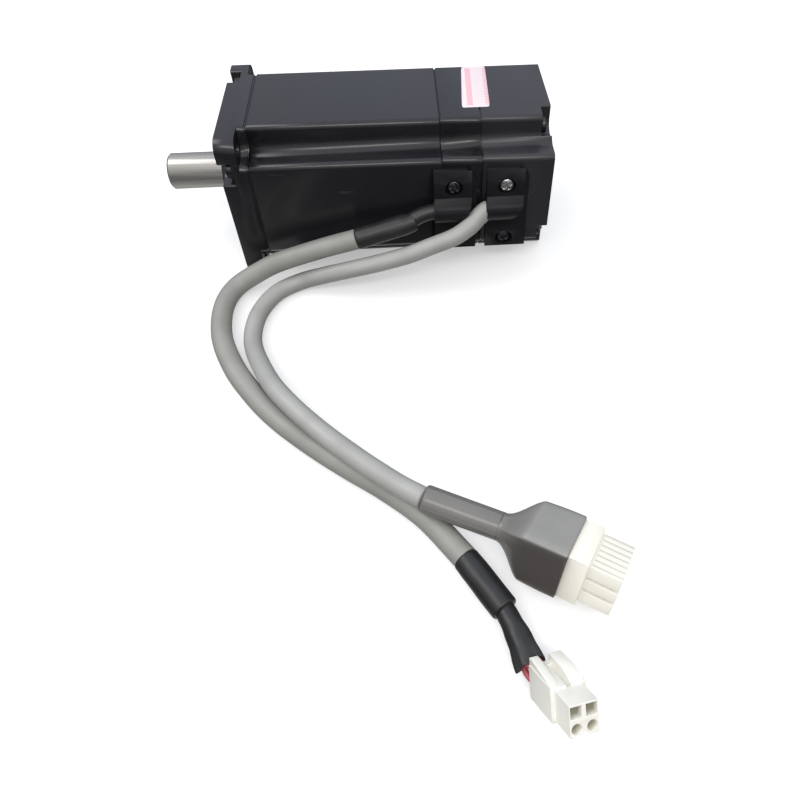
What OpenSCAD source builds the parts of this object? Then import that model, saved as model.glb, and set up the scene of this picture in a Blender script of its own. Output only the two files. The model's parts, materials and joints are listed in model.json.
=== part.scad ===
// Sewing machine servo motor, 60 mm frame, lying on one side face.
// X runs along the shaft, the shaft points to -X, and Z is up.
// The origin is the centre of the flange's front face.

/* [Frame] */
// Width and height of the flange and of the body
frame_w = 60; // [58:1:66]
// Thickness of the mounting flange
flange_t = 7.2; // [6.5:0.1:9]
// Radius of the flange's ear corners
ear_r = 5; // [3:0.5:7]
// Depth of the corner notches behind the flange
notch_w = 10.1; // [9.5:0.1:10.5]
// Radius of the body's outer edges
edge_r = 2.2; // [1.5:0.1:2.6]
// Radius of the fillet at the bottom of each notch
fillet_r = 4.5; // [3:0.5:5]
// Wall between the stator housing's bore and its faces
body_wall = 3; // [3:0.1:4]
// Wall between the encoder cover's bore and its faces
cover_wall = 6.5; // [6.5:0.1:7]
// Length of the front bracket, flange included
bracket_l = 10.2; // [9.6:0.1:12]
// Length of the stator housing
stator_l = 70; // [66:1:90]
// Length of the rear bracket
rear_l = 15; // [15:0.5:18]
// Length of the encoder cover
cover_l = 26.6; // [25:0.1:32]
// Width of the groove at the front joint
front_seam_w = 1; // [0.6:0.1:1.4]
// Width of the grooves at the two rear joints
rear_seam_w = 0.7; // [0.4:0.1:1]
// Depth of all three grooves
seam_depth = 0.5; // [0.3:0.1:0.8]

/* [Mounting] */
// Distance of the pilot's edge from the flange's edges
pilot_in = 5; // [4:0.5:10]
// Height of the pilot
pilot_h = 1.5; // [1.5:0.5:3]
// Distance of the mounting holes' axes from the flange's edges
hole_in = 5.25; // [5:0.05:5.5]
// Diameter of the mounting holes
hole_d = 4.5; // [3.5:0.1:4.6]

/* [Shaft] */
// Diameter of the output shaft
shaft_d = 14; // [11:1:14]
// Length of shaft in front of the flange
shaft_out = 27.5; // [20:0.5:40]
// Chamfer at the shaft's end
shaft_chamfer = 0.8; // [0.4:0.1:1.2]
// Diameter of the ground seat under the oil seal and the front bearing
front_seat_d = 15; // [14.5:0.5:15]
// Diameter of the shoulder in front of the rear bearing
rear_shoulder_d = 13; // [12:0.5:13]
// Diameter of the rear bearing's seat
rear_seat_d = 10; // [9:0.5:10]
// Diameter of the tail that carries the encoder hub
tail_d = 8; // [6:0.5:8]

/* [Bearings] */
// Outer diameter of the front bearing
front_bearing_d = 32; // [31:1:34]
// Width of the front bearing
front_bearing_w = 9; // [8:0.5:9]
// Diameter of the circle that the front balls run on
front_pitch_d = 23.5; // [23:0.1:24]
// Number of balls in the front bearing
front_balls_n = 9; // [6:1:9]
// Outer diameter of the rear bearing
rear_bearing_d = 26; // [25:1:28]
// Width of the rear bearing
rear_bearing_w = 8; // [7.5:0.5:8]
// Diameter of the circle that the rear balls run on
rear_pitch_d = 18; // [17.8:0.1:18.4]
// Number of balls in the rear bearing
rear_balls_n = 7; // [5:1:7]
// Diameter of a ball
ball_d = 4.76; // [4:0.1:5]
// Outer diameter of the oil seal
seal_d = 25; // [24:0.5:28]
// Thickness of the oil seal
seal_t = 4; // [3:0.5:4]

/* [Stator and rotor] */
// Length of the stator housing that the core leaves free
core_ends = 24; // [24:1:40]
// Gap between the rotor and the stator core
air_gap = 0.4; // [0.3:0.05:0.8]
// Number of stator teeth and coils
teeth_n = 12; // [9:3:12]
// Width of a tooth
tooth_w = 3.6; // [3:0.1:4]
// Thickness of the core behind the teeth
yoke_t = 4.5; // [4:0.1:5]
// Distance of a coil from the middle of the slot beside it
coil_gap = 0.88; // [0.88:0.02:1.5]
// Thickness of the end insulators
insulator_t = 1.2; // [0.8:0.1:1.5]
// Wall of the rotor's laminated core
rotor_wall = 3; // [3:0.1:4]
// Thickness of the magnets
magnet_t = 2.3; // [1.5:0.1:2.4]
// Number of magnets
magnets_n = 8; // [6:2:10]
// Thickness of the sleeve round the magnets
sleeve_t = 0.3; // [0.2:0.05:0.35]

/* [Encoder] */
// Gap between the encoder board and the cover's bore
board_gap = 2.5; // [2.5:0.1:3.5]
// Thickness of the encoder board
board_t = 1.6; // [1:0.1:2]
// Gap between the encoder disc and the board's posts
disc_gap = 0.6; // [0.6:0.1:2]
// Thickness of the encoder disc
disc_t = 0.8; // [0.5:0.1:1]
// Diameter of the encoder hub
hub_d = 13; // [12:0.5:13.5]

/* [Cable covers] */
// Width of a cable cover along the shaft
plate_w = 16; // [15.4:0.1:16.6]
// Distance of a cable cover's upper edge from the notch
plate_top_in = 3.6; // [3:0.1:5]
// Distance of a cable cover's lower edge from the notch
plate_low_in = 0.9; // [0.5:0.1:2]
// Thickness of a cover's base plate
plate_t = 2; // [1.5:0.1:2.2]
// Width of the raised hood
hood_w = 14.2; // [13.8:0.1:14.6]
// Thickness of the plate's foot, round the lower screw
foot_t = 3; // [2.8:0.1:3.2]
// How far the hood's flat stands out from the body
hood_t = 4; // [3.5:0.1:4.4]
// Radius of the cable duct's outside
duct_r = 4.3; // [4.3:0.1:4.6]
// Radius of the hood's lower rear corner
hood_corner_r = 11.5; // [8:0.5:12]
// Chamfer at the base plate's upper rear corner
plate_chamfer = 3.8; // [2:0.2:4.6]

/* [Cords] */
// Diameter of the thin tube at the power cable's exit
lead_d = 6; // [5:0.2:6.4]
// Diameter of the power cable
power_d = 7.8; // [7:0.2:8]
// Diameter of the power cable's shrink sleeves
shrink_d = 8.2; // [7.8:0.1:8.4]
// Diameter of the encoder cable
encoder_d = 6.8; // [6:0.2:7]
// Diameter of the gray sleeve before the encoder plug's boot
sleeve_d = 8.6; // [8:0.2:9]
// Width of the square boot
boot_w = 18.4; // [17:0.2:19]
// Width of the encoder plug
encoder_plug_w = 14; // [13:0.2:14.6]
// Width of the power plug's rear block
power_plug_w = 9.6; // [9.2:0.1:10]
// Length of the power plug's rear block
power_plug_l = 12.4; // [12:0.1:13]

/* [Screws] */
// Thread diameter of the front and rear bracket screws
m4_d = 3.9; // [3.5:0.1:4]
// Head diameter of the bracket screws
m4_head_d = 6.6; // [6:0.1:6.8]
// Head height of the bracket screws
m4_head_h = 3.4; // [2.5:0.1:3.6]
// Thread diameter of the cover screws
m3_d = 3; // [2.5:0.1:3]
// Head diameter of the cover screws
m3_head_d = 5.6; // [5:0.1:5.8]
// Head height of the cover screws
m3_head_h = 1.7; // [1.2:0.1:1.8]

/* [Label] */
// Length of the blank label along the shaft
label_w = 10.5; // [8:0.5:12]
// Width of the blank label across the face
label_h = 29.8; // [20:0.2:30]
// Thickness of the label
label_t = 0.1; // [0.05:0.05:0.2]

/* [Hidden] */
$fn = 64;

// Clearances, overruns and the width of a screw's hexagon socket as a share of its thread
socket_share = 0.8;
over = 1;
fit = 0.03;
thread_gap = 0.05;
ball_gap = 0.05;
seat_gap = 0.3;

// Stations along the shaft
half_w = frame_w / 2;
arm_w = half_w - notch_w;
housing_x = bracket_l;
rear_x = housing_x + stator_l;
cover_x = rear_x + rear_l;
end_x = cover_x + cover_l;
top_z = half_w;
side_y = -half_w;

// Sizes that follow from the frame, the board's posts included
core_bore_share = 5 / 9;
pilot_d = frame_w - 2 * pilot_in;
hole_pitch = frame_w - 2 * hole_in;
stator_bore_d = frame_w - 2 * body_wall;
encoder_bore_d = frame_w - 2 * cover_wall;
core_l = stator_l - core_ends;
core_bore_d = stator_bore_d * core_bore_share;
rotor_core_d = core_bore_d - 2 * (air_gap + sleeve_t + magnet_t);
core_seat_d = rotor_core_d - 2 * rotor_wall;
board_d = encoder_bore_d - 2 * board_gap;
post_in = 3;
post_r = 2.4;
post_at = board_d / 2 - post_in;
disc_d = 2 * (post_at - post_r - disc_gap);

// Bracket screws, in pockets open to the flange's front and edge
screw_from_edge = 12.8;
screw_along = half_w - screw_from_edge;
screw_in = 4.2;
screw_z = half_w - screw_in;
pocket_w = 8.4;
pocket_x = 4.5;
pocket_break = 0.5;
screw_l = 17.5;
thread_l = 14;
thread_share = 0.7;
rear_head_depth = 4;
rear_screw_from_edge = 14.5;
rear_screw_along = half_w - rear_screw_from_edge;

// Bearing pockets
seal_recess = 0.5;
seal_x = seal_recess - pilot_h;
throat_gap = 2;
throat_r = front_seat_d / 2 + throat_gap;
front_bearing_x = 5;
front_bearing_end = front_bearing_x + front_bearing_w;
hub_wall = 4;
hub_r = front_bearing_d / 2 + hub_wall;
spigot_l = 3;
spigot_wall = 2;
spigot_r = stator_bore_d / 2 - fit;
rear_bearing_in = 3;
rear_bearing_x = rear_x + rear_bearing_in;
washer_gap = 0.9;
washer_t = 0.5;
rear_pocket_end = rear_bearing_x + rear_bearing_w + washer_gap;
rear_hub_wall = 3;
rear_hub_r = rear_bearing_d / 2 + rear_hub_wall;
rear_web_in = 10;
rear_web_x = rear_x + rear_web_in;
rear_wall = 5;
rear_cavity_r = half_w - rear_wall;
rear_throat_gap = 4;
rear_throat_r = tail_d / 2 + rear_throat_gap;

// Rotor and stator
stator_in = 12.2;
stator_x = housing_x + stator_in;
stator_end = stator_x + core_l;
rotor_in = 2;
rotor_x = stator_x + rotor_in;
rotor_l = core_l - 2 * rotor_in;
magnet_r = rotor_core_d / 2 + magnet_t;
magnet_arc_share = 0.88;
core_r = stator_bore_d / 2 - fit;
slot_r = core_r - yoke_t;
shoe_t = 1.5;
insulator_in = 0.5;
slot_mouth = 1.6;
coil_in_r = core_bore_d / 2 + shoe_t + 2 * seat_gap;
coil_t = coil_in_r * tan(180 / teeth_n) - tooth_w / 2 - coil_gap;
coil_half = tooth_w / 2 + 2 * fit + coil_t;
coil_out_r = slot_r - thread_gap - coil_half * tan(180 / teeth_n);
tail_in = 0.5;
tail_x = cover_x + tail_in;

// Encoder
hub_in = 2;
hub_x = cover_x + hub_in;
hub_l = 5;
hub_lip = 1;
disc_x = hub_x + hub_l;
tail_out = 1;
tail_end = disc_x + disc_t + tail_out;
board_in = 11;
board_x = cover_x + board_in;
connector_t = 3;
connector_w = 4;
connector_h = 6;
connector_in = 0.5;
head_share = 0.25;
head_out = 1;
m2_d = 2;
m2_head_d = 3.8;
m2_head_h = 1.2;
m2_l = 6;
end_wall = 3;

// Encoder cover's screws, in pockets open to its rear, mirrored to the bracket screws
cover_pocket_w = 8.6;
cover_pocket_l = 4;
cover_screw_in = 5.2;
cover_screw_z = half_w - cover_screw_in;
cover_head_d = 6;
cover_head_h = 2;
cover_screw_l = 28;

// Cable covers
plate_top = arm_w - plate_top_in;
plate_h = 2 * arm_w - plate_top_in - plate_low_in;
hood_share = 0.58;
hood_h = plate_h * hood_share;
foot_h = 8;
foot_slope = 4.5;
power_plate_out = 3.5;
power_plate_x = rear_x - power_plate_out;
encoder_plate_in = 1.3;
encoder_plate_x = cover_x + encoder_plate_in;
duct_out = 4.3;
duct_y = side_y - duct_out;
duct_z = 0.3;
duct_lean = 55;
passage_z = duct_z;
bore_r = 3.6;
gland_wall = 0.7;
gland_r = duct_r - gland_wall;
gland_l = 2.5;
gland_out = 0.4;
passage_r = 2.6;
passage_in = 8.3;
power_passage_x = power_plate_x + passage_in;
encoder_passage_x = encoder_plate_x + passage_in;
upper_screw_in = 6.5;
lower_screw_in = 3.8;
upper_screw_z = plate_top - upper_screw_in;
lower_screw_z = plate_top - plate_h + lower_screw_in;
cover_screw_x = 7.5;
counterbore_r = 3.4;
counterbore_d = 1.9;
m3_l = 6;
short_m3_l = 2.6;
lead_in = 3.5;
signal_lead_in = 4.5;
hood_bevel = 3.5;
hood_break = 1;
bore_share = 0.65;
wire_r = 0.55;
wire_pitch = 1.2;
signal_r = 0.36;
signal_pitch = 0.84;

// Cord routes, chosen by hand
lead_path = [
    [80.2, -34.3, 0.3], [76, -34.3, 0.3], [72.2, -34.7, -0.5], [68, -35.5, -2.2]
];
power_path = [
    [46.5, -38, -8.1], [36, -38, -10.9], [24.5, -38, -14.4], [13.5, -38, -18.4],
    [5.5, -38.8, -22.4], [-2, -41.7, -25.6], [-5.6, -48.9, -26.1], [-6.3, -58, -26.1],
    [-4.5, -69.8, -26.1], [0.9, -82.8, -26.1], [7.7, -93.8, -26.1], [16.9, -105.5, -26.1],
    [28.7, -116.7, -26.1], [41.9, -127.5, -26.1], [55.1, -137.4, -26.1],
    [66.9, -148, -26.1], [77.5, -161.9, -26.1]
];
encoder_path = [
    [101, -34.3, 0.3], [96.4, -34.3, -0.1], [93.4, -36.2, -1.6], [89.6, -39.3, -3.7],
    [83.6, -41.6, -6.5], [75, -42.4, -9.7], [65.5, -43.2, -13], [55, -43.7, -15.6],
    [43.5, -43.8, -18.2], [32, -42.1, -22.2], [22, -41, -26], [12.8, -46.6, -26.6],
    [7.2, -58, -26.6], [6.7, -71.5, -26.4], [12.3, -87.2, -23], [19.7, -101.3, -19.3],
    [31.1, -115.2, -18.5], [44.3, -128.1, -18.5], [57.5, -139.3, -18.5], [66.5, -146, -17.8]
];
power_end = [87.2, -177.9, -25.8];
tube_mid = [89.9, -185.6, -25.6];
tube_end = [91.4, -192.4, -25.2];
tube_start_r = 2.9;
tube_mid_r = 3.6;
tube_end_r = 4.3;

// Blank label, a little off the middle of the top face
label_back = 5.7;
label_x = cover_x - label_back;
label_y = 3.1;
label_r = 1;

// Power plug, tipped up on its lower rear corner
power_plug_at = [95.7, -196.3, -25.9];
power_plug_turn = [-14.4, -42.9, -68.4];
power_plug_h = 8.9;
nose_w = 7.7;
nose_h = 8;
nose_l = 7.7;
cell_pitch = 4.14;
cell_w = 3;
cell_r = 1.4;
cell_depth = 6;
latch_rise = 1.9;
latch_flat = 7.6;
latch_in = 0.3;
latch_y = 0.9;
slot_w = 1.4;
slot_d = 1.2;
slot_x = 2;
rib_w = 2.4;
rib_flat = 1.6;
contact_r = 1;
plug_wire_r = 0.9;
tower_notch = 1.8;

// Encoder plug and boot
encoder_plug_at = [111.9, -170.7, -18.4];
encoder_plug_turn = [-18.4, 0, -32.3];
encoder_plug_l = 8.85;
collar_w = 16;
collar_l = 5.8;
collar_x = -6.2;
groove_w = 1;
groove_d = 1.6;
boot_l = 11.8;
boot_x = collar_x - boot_l;
boot_power = 10;
boot_sag = 1.6;
neck_l = 10;
neck_curve = 1.2;
sleeve_end = [66.5, -146, -17.8];
signal_cell_r = 1.15;
signal_contact_r = 0.85;

// A vector turned about X, then Y, then Z, as rotate() turns a shape
function turned(p, a) =
    let (
        x1 = p[0],
        y1 = p[1] * cos(a[0]) - p[2] * sin(a[0]),
        z1 = p[1] * sin(a[0]) + p[2] * cos(a[0]),
        x2 = x1 * cos(a[1]) + z1 * sin(a[1]),
        z2 = z1 * cos(a[1]) - x1 * sin(a[1])
    )
    [x2 * cos(a[2]) - y1 * sin(a[2]), x2 * sin(a[2]) + y1 * cos(a[2]), z2];

module along_x(length) {
    rotate([90, 0, 90]) linear_extrude(length) children();
}

module x_rod(r, length) {
    rotate([0, 90, 0]) cylinder(r = r, h = length);
}

module y_rod(r, length) {
    rotate([90, 0, 0]) cylinder(r = r, h = length);
}

// Straight rod from one point to another, of one or two radii
module rod(from, to, r1, r2) {
    d = to - from;
    length = norm(d);
    translate(from) rotate([0, acos(d[2] / length), atan2(d[1], d[0])])
        cylinder(r1 = r1, r2 = r2, h = length);
}

// Wire along points, round at its corners
module wire(points, r) {
    for (i = [0:len(points) - 2]) rod(points[i], points[i + 1], r, r);
    for (i = [1:len(points) - 2]) translate(points[i]) sphere(r, $fn = 32);
}

module four_corners() {
    for (turn = [0:3]) rotate([90 * turn, 0, 0]) children();
}

module rounded_square(w, r) {
    square([w, w - 2 * r], center = true);
    square([w - 2 * r, w], center = true);
    for (sx = [-1, 1], sy = [-1, 1]) translate([sx * (w / 2 - r), sy * (w / 2 - r)]) circle(r);
}

module rounded_bar(long, wide, r) {
    square([2 * long, 2 * (wide - r)], center = true);
    square([2 * (long - r), 2 * wide], center = true);
    for (sx = [-1, 1], sy = [-1, 1]) translate([sx * (long - r), sy * (wide - r)]) circle(r);
}

// Body section: a square with notched corners, drawn in by inset
module body_outline(inset) {
    long = half_w - inset;
    wide = arm_w - inset;
    hollow_r = fillet_r + inset;
    rounded_bar(long, wide, edge_r - inset);
    rotate(90) rounded_bar(long, wide, edge_r - inset);
    for (turn = [0:3]) rotate(90 * turn) difference() {
        square(wide + hollow_r);
        translate([wide + hollow_r, wide + hollow_r]) circle(hollow_r);
    }
}

// Length of body section with a shallow groove band at each end
module body_block(from, to, front_band, rear_band) {
    length = to - from;
    translate([from, 0, 0]) along_x(length) body_outline(seam_depth);
    translate([from + front_band, 0, 0]) along_x(length - front_band - rear_band) body_outline(0);
}

// Axes of the bracket screws, one near each corner
module bracket_screw_places(along) {
    four_corners() translate([0, along, screw_z]) children();
}

module screw(head_r, head_h, r, length, socket_w) {
    difference() {
        union() {
            translate([-head_h, 0, 0]) x_rod(head_r, head_h);
            x_rod(r, length);
        }
        translate([-head_h - over, 0, 0]) rotate([0, 90, 0])
            cylinder(d = socket_w, h = head_h / 2 + over, $fn = 6);
    }
}

module front_bracket() {
    color([0.16, 0.17, 0.19]) difference() {
        union() {
            along_x(flange_t) rounded_square(frame_w, ear_r);
            body_block(flange_t, bracket_l, 0, front_seam_w / 2);
            translate([-pilot_h, 0, 0]) x_rod(pilot_d / 2, pilot_h);
            translate([bracket_l, 0, 0]) x_rod(spigot_r, spigot_l);
            translate([bracket_l, 0, 0]) x_rod(hub_r, front_bearing_end - bracket_l);
        }
        difference() {
            translate([bracket_l, 0, 0]) x_rod(spigot_r - spigot_wall, spigot_l + over);
            translate([bracket_l - over, 0, 0]) x_rod(hub_r, spigot_l + 3 * over);
        }
        translate([-pilot_h - over, 0, 0]) x_rod(seal_d / 2, over + seal_recess + seal_t);
        translate([-pilot_h, 0, 0]) x_rod(throat_r, pilot_h + bracket_l);
        translate([front_bearing_x, 0, 0]) x_rod(front_bearing_d / 2, front_bearing_w + over);
        bracket_screw_places(screw_along) translate([-over, 0, 0])
            x_rod(m4_d / 2 + 3 * thread_gap, bracket_l + 2 * over);
        four_corners() screw_pocket(-over, pocket_x, screw_along, screw_in, pocket_w);
        for (sy = [-1, 1], sz = [-1, 1])
            translate([-over, sy * hole_pitch / 2, sz * hole_pitch / 2])
                x_rod(hole_d / 2, flange_t + 2 * over);
    }
}

// Pocket with a round inner end, its mouth broken by a small chamfer
module screw_pocket(from, to, along, deep, w) {
    translate([from, along, half_w - deep]) x_rod(w / 2, to - from);
    translate([from, along - w / 2, half_w - deep]) cube([to - from, w, deep + over]);
    translate([from, along, half_w]) along_x(to - from) polygon([
        [-w / 2, -pocket_break], [w / 2, -pocket_break],
        [w / 2 + 2 * pocket_break, pocket_break], [-w / 2 - 2 * pocket_break, pocket_break]
    ]);
}

module bracket_screws() {
    color([0.25, 0.25, 0.27]) bracket_screw_places(screw_along)
        translate([pocket_x, 0, 0]) screw(m4_head_d / 2, m4_head_h, m4_d / 2, screw_l, m4_d * socket_share);
}

module oil_seal() {
    color([0.12, 0.1, 0.09]) difference() {
        translate([seal_x, 0, 0]) x_rod(seal_d / 2 - fit, seal_t);
        translate([seal_x - over, 0, 0]) x_rod(front_seat_d / 2 + thread_gap, seal_t + 2 * over);
        translate([seal_x - over, 0, 0]) difference() {
            x_rod(seal_d / 2 - seal_t / 2, seal_t / 2 + over);
            x_rod(front_seat_d / 2 + seal_t / 4, seal_t / 2 + over);
        }
    }
}

module motor_shaft() {
    color([0.75, 0.75, 0.76]) rotate([0, 90, 0]) rotate_extrude() polygon([
        [0, -shaft_out],
        [shaft_d / 2 - shaft_chamfer, -shaft_out],
        [shaft_d / 2, -shaft_out + shaft_chamfer],
        [shaft_d / 2, -pilot_h],
        [front_seat_d / 2, -pilot_h],
        [front_seat_d / 2, front_bearing_end],
        [core_seat_d / 2, front_bearing_end],
        [core_seat_d / 2, stator_end + shoe_t],
        [rear_shoulder_d / 2, stator_end + shoe_t],
        [rear_shoulder_d / 2, rear_bearing_x],
        [rear_seat_d / 2, rear_bearing_x],
        [rear_seat_d / 2, tail_x],
        [tail_d / 2, tail_x],
        [tail_d / 2, tail_end],
        [0, tail_end]
    ]);
}

// Ring of a ball bearing with its running groove
module bearing_ring(x, width, inner_r, outer_r, pitch_d) {
    color([0.7, 0.71, 0.73]) translate([x, 0, 0]) rotate([0, 90, 0]) rotate_extrude() difference() {
        translate([inner_r, 0]) square([outer_r - inner_r, width]);
        translate([pitch_d / 2, width / 2]) circle(ball_d / 2 + ball_gap);
    }
}

// Land radii lie a share of the ball's diameter from the pitch circle, and the cage is a band between them
land_share = 0.28;
cage_t_share = 0.22;
cage_w_share = 1.2;

module outer_ring(x, width, pitch_d, outer_d) {
    bearing_ring(x, width, pitch_d / 2 + ball_d * land_share, outer_d / 2, pitch_d);
}

module inner_ring(x, width, pitch_d, seat_d) {
    bearing_ring(x, width, seat_d / 2, pitch_d / 2 - ball_d * land_share, pitch_d);
}

module at_balls(x, width, pitch_d, n) {
    for (i = [0:n - 1]) rotate([360 * i / n, 0, 0]) translate([x + width / 2, 0, pitch_d / 2]) children();
}

module cage(x, width, pitch_d, n) {
    cage_t = ball_d * cage_t_share;
    cage_w = ball_d * cage_w_share;
    color([0.72, 0.62, 0.4]) difference() {
        translate([x + width / 2 - cage_w / 2, 0, 0]) x_rod(pitch_d / 2 + cage_t, cage_w);
        translate([x - over, 0, 0]) x_rod(pitch_d / 2 - cage_t, width + 2 * over);
        at_balls(x, width, pitch_d, n) sphere(ball_d / 2 + ball_gap);
    }
}

module balls(x, width, pitch_d, n) {
    color([0.8, 0.8, 0.82]) at_balls(x, width, pitch_d, n) sphere(ball_d / 2);
}

module front_bearing_outer() {
    outer_ring(front_bearing_x, front_bearing_w, front_pitch_d, front_bearing_d);
}

module front_bearing_inner() {
    inner_ring(front_bearing_x, front_bearing_w, front_pitch_d, front_seat_d);
}

module front_cage() {
    cage(front_bearing_x, front_bearing_w, front_pitch_d, front_balls_n);
}

module front_balls() {
    balls(front_bearing_x, front_bearing_w, front_pitch_d, front_balls_n);
}

module rear_bearing_outer() {
    outer_ring(rear_bearing_x, rear_bearing_w, rear_pitch_d, rear_bearing_d);
}

module rear_bearing_inner() {
    inner_ring(rear_bearing_x, rear_bearing_w, rear_pitch_d, rear_seat_d);
}

module rear_cage() {
    cage(rear_bearing_x, rear_bearing_w, rear_pitch_d, rear_balls_n);
}

module rear_balls() {
    balls(rear_bearing_x, rear_bearing_w, rear_pitch_d, rear_balls_n);
}

// Spring washer that loads the rear bearing, drawn as a dished ring
module wave_washer() {
    color([0.6, 0.6, 0.62]) translate([rear_bearing_x + rear_bearing_w, 0, 0]) rotate([0, 90, 0])
        rotate_extrude() polygon([
            [rear_bearing_d / 2 - fit, 0],
            [rear_bearing_d / 2 - fit, washer_t],
            [rear_throat_r + over, washer_gap],
            [rear_throat_r + over, washer_gap - washer_t]
        ]);
}

module rotor_core() {
    color([0.45, 0.46, 0.48]) difference() {
        translate([rotor_x, 0, 0]) x_rod(rotor_core_d / 2, rotor_l);
        translate([rotor_x - over, 0, 0]) x_rod(core_seat_d / 2, rotor_l + 2 * over);
    }
}

module rotor_magnets() {
    arc = 360 / magnets_n * magnet_arc_share;
    color([0.35, 0.36, 0.38]) for (i = [0:magnets_n - 1]) rotate([360 * i / magnets_n, 0, 0])
        translate([rotor_x, 0, 0]) rotate([0, 90, 0])
            rotate_extrude(angle = arc) translate([rotor_core_d / 2, 0]) square([magnet_t, rotor_l]);
}

module magnet_sleeve() {
    color([0.68, 0.68, 0.7]) difference() {
        translate([rotor_x, 0, 0]) x_rod(magnet_r + sleeve_t, rotor_l);
        translate([rotor_x - over, 0, 0]) x_rod(magnet_r, rotor_l + 2 * over);
    }
}

module stator_housing() {
    color([0.13, 0.14, 0.16]) difference() {
        body_block(housing_x, rear_x, front_seam_w / 2, rear_seam_w / 2);
        translate([housing_x - over, 0, 0]) x_rod(stator_bore_d / 2, stator_l + 2 * over);
        for (end = [[housing_x - over, screw_along], [rear_x - thread_l, rear_screw_along]])
            bracket_screw_places(end[1]) translate([end[0], 0, 0])
            x_rod(m4_d / 2 + thread_gap, thread_l + over);
    }
}

module stator_core() {
    step = 360 / teeth_n;
    color([0.5, 0.51, 0.52]) translate([stator_x, 0, 0]) along_x(core_l) difference() {
        circle(core_r);
        circle(core_bore_d / 2);
        for (i = [0:teeth_n - 1]) rotate(step * (i + 0.5)) {
            slot_outline(core_bore_d / 2 + shoe_t, slot_r, step / 2);
            translate([0, -slot_mouth / 2]) square([slot_r, slot_mouth]);
        }
    }
}

// One slot between two straight-sided teeth
module slot_outline(r1, r2, half_step) {
    w1 = r1 * tan(half_step) - tooth_w / 2;
    w2 = r2 * tan(half_step) - tooth_w / 2;
    r2_flat = r2 * cos(half_step);
    polygon([[r1, -w1], [r2_flat, -w2], [r2_flat, w2], [r1, w1]]);
}

// Plastic caps on the core's ends, with a finger on each tooth
module end_insulators() {
    finger_in = core_bore_d / 2 + shoe_t / 2;
    color([0.86, 0.84, 0.78]) for (x = [stator_x - insulator_t, stator_end])
        translate([x, 0, 0]) along_x(insulator_t) union() {
            difference() {
                circle(core_r - insulator_in);
                circle(slot_r);
            }
            for (i = [0:teeth_n - 1]) rotate(360 / teeth_n * i)
                translate([finger_in, -tooth_w / 2]) square([slot_r - finger_in + insulator_in, tooth_w]);
        }
}

module stator_coils() {
    gap = 2 * fit;
    inner_w = tooth_w / 2 + gap;
    inner_x = insulator_t + gap;
    color([0.72, 0.4, 0.2]) for (i = [0:teeth_n - 1]) rotate([360 / teeth_n * i, 0, 0]) difference() {
        translate([stator_x - inner_x - coil_t, coil_in_r, -inner_w - coil_t])
            cube([core_l + 2 * (inner_x + coil_t), coil_out_r - coil_in_r, 2 * (inner_w + coil_t)]);
        translate([stator_x - inner_x, coil_in_r - over, -inner_w])
            cube([core_l + 2 * inner_x, coil_out_r - coil_in_r + 2 * over, 2 * inner_w]);
    }
}

module rear_bracket() {
    color([0.13, 0.14, 0.16]) difference() {
        union() {
            body_block(rear_x, cover_x, rear_seam_w / 2, rear_seam_w / 2);
            translate([rear_x - spigot_l, 0, 0]) x_rod(spigot_r, spigot_l);
            posts(cover_x - over / 2, board_x, post_r);
        }
        difference() {
            translate([rear_x - spigot_l - over, 0, 0])
                x_rod(rear_cavity_r, rear_web_x - rear_x + spigot_l + over);
            translate([rear_bearing_x - over / 2, 0, 0]) x_rod(rear_hub_r, rear_l);
        }
        translate([rear_x - over, 0, 0]) x_rod(rear_bearing_d / 2, rear_pocket_end - rear_x + over);
        translate([rear_x, 0, 0]) x_rod(rear_throat_r, rear_l + over);
        bracket_screw_places(rear_screw_along) translate([rear_x - over, 0, 0])
            x_rod(m4_d / 2 + 3 * thread_gap, rear_l + 2 * over);
        bracket_screw_places(rear_screw_along) translate([cover_x - rear_head_depth, 0, 0])
            x_rod(m4_head_d / 2 + seat_gap, rear_head_depth + over);
        posts(board_x - m2_l, board_x + over, m2_d / 2 + thread_gap);
        encoder_cover_screw_places() translate([cover_x - thread_l / 2, 0, 0])
            x_rod(m3_d / 2 + thread_gap, thread_l / 2 + over);
        cable_cover_holes(power_plate_x);
        translate([power_passage_x, -rear_hub_r, passage_z]) y_rod(passage_r, half_w);
    }
}

module posts(from, to, r) {
    for (turn = [90, 210, 330]) rotate([turn, 0, 0]) translate([from, 0, -post_at]) x_rod(r, to - from);
}

module rear_bracket_screws() {
    length = rear_l - rear_head_depth + thread_l * thread_share;
    color([0.3, 0.3, 0.32]) bracket_screw_places(rear_screw_along)
        translate([cover_x - rear_head_depth, 0, 0]) mirror([1, 0, 0])
            screw(m4_head_d / 2, m4_head_h, m4_d / 2, length, m4_d * socket_share);
}

module encoder_hub() {
    color([0.62, 0.63, 0.65]) difference() {
        union() {
            translate([hub_x, 0, 0]) x_rod(hub_d / 2, hub_l);
            translate([disc_x - hub_lip, 0, 0]) x_rod(hub_d / 2 + hub_lip, hub_lip);
        }
        translate([hub_x - over, 0, 0]) x_rod(tail_d / 2, hub_l + 2 * over);
    }
}

module encoder_disc() {
    color([0.7, 0.75, 0.78]) difference() {
        translate([disc_x, 0, 0]) x_rod(disc_d / 2, disc_t);
        translate([disc_x - over, 0, 0]) x_rod(tail_d / 2, disc_t + 2 * over);
    }
}

module encoder_board() {
    color([0.05, 0.3, 0.15]) difference() {
        translate([board_x, 0, 0]) x_rod(board_d / 2, board_t);
        translate([board_x - over, 0, 0]) x_rod(tail_d / 2 + tail_out, board_t + 2 * over);
        posts(board_x - over, board_x + board_t + over, m2_d / 2 + 2 * thread_gap);
    }
}

// Optical reader that faces the disc's track
module read_head() {
    head_w = disc_d * head_share;
    head_front = disc_x + disc_t + seat_gap;
    color([0.1, 0.1, 0.1]) translate([head_front, -head_w / 2, disc_d / 2 - head_w + head_out])
        cube([board_x - head_front, head_w, head_w - head_out]);
}

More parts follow.
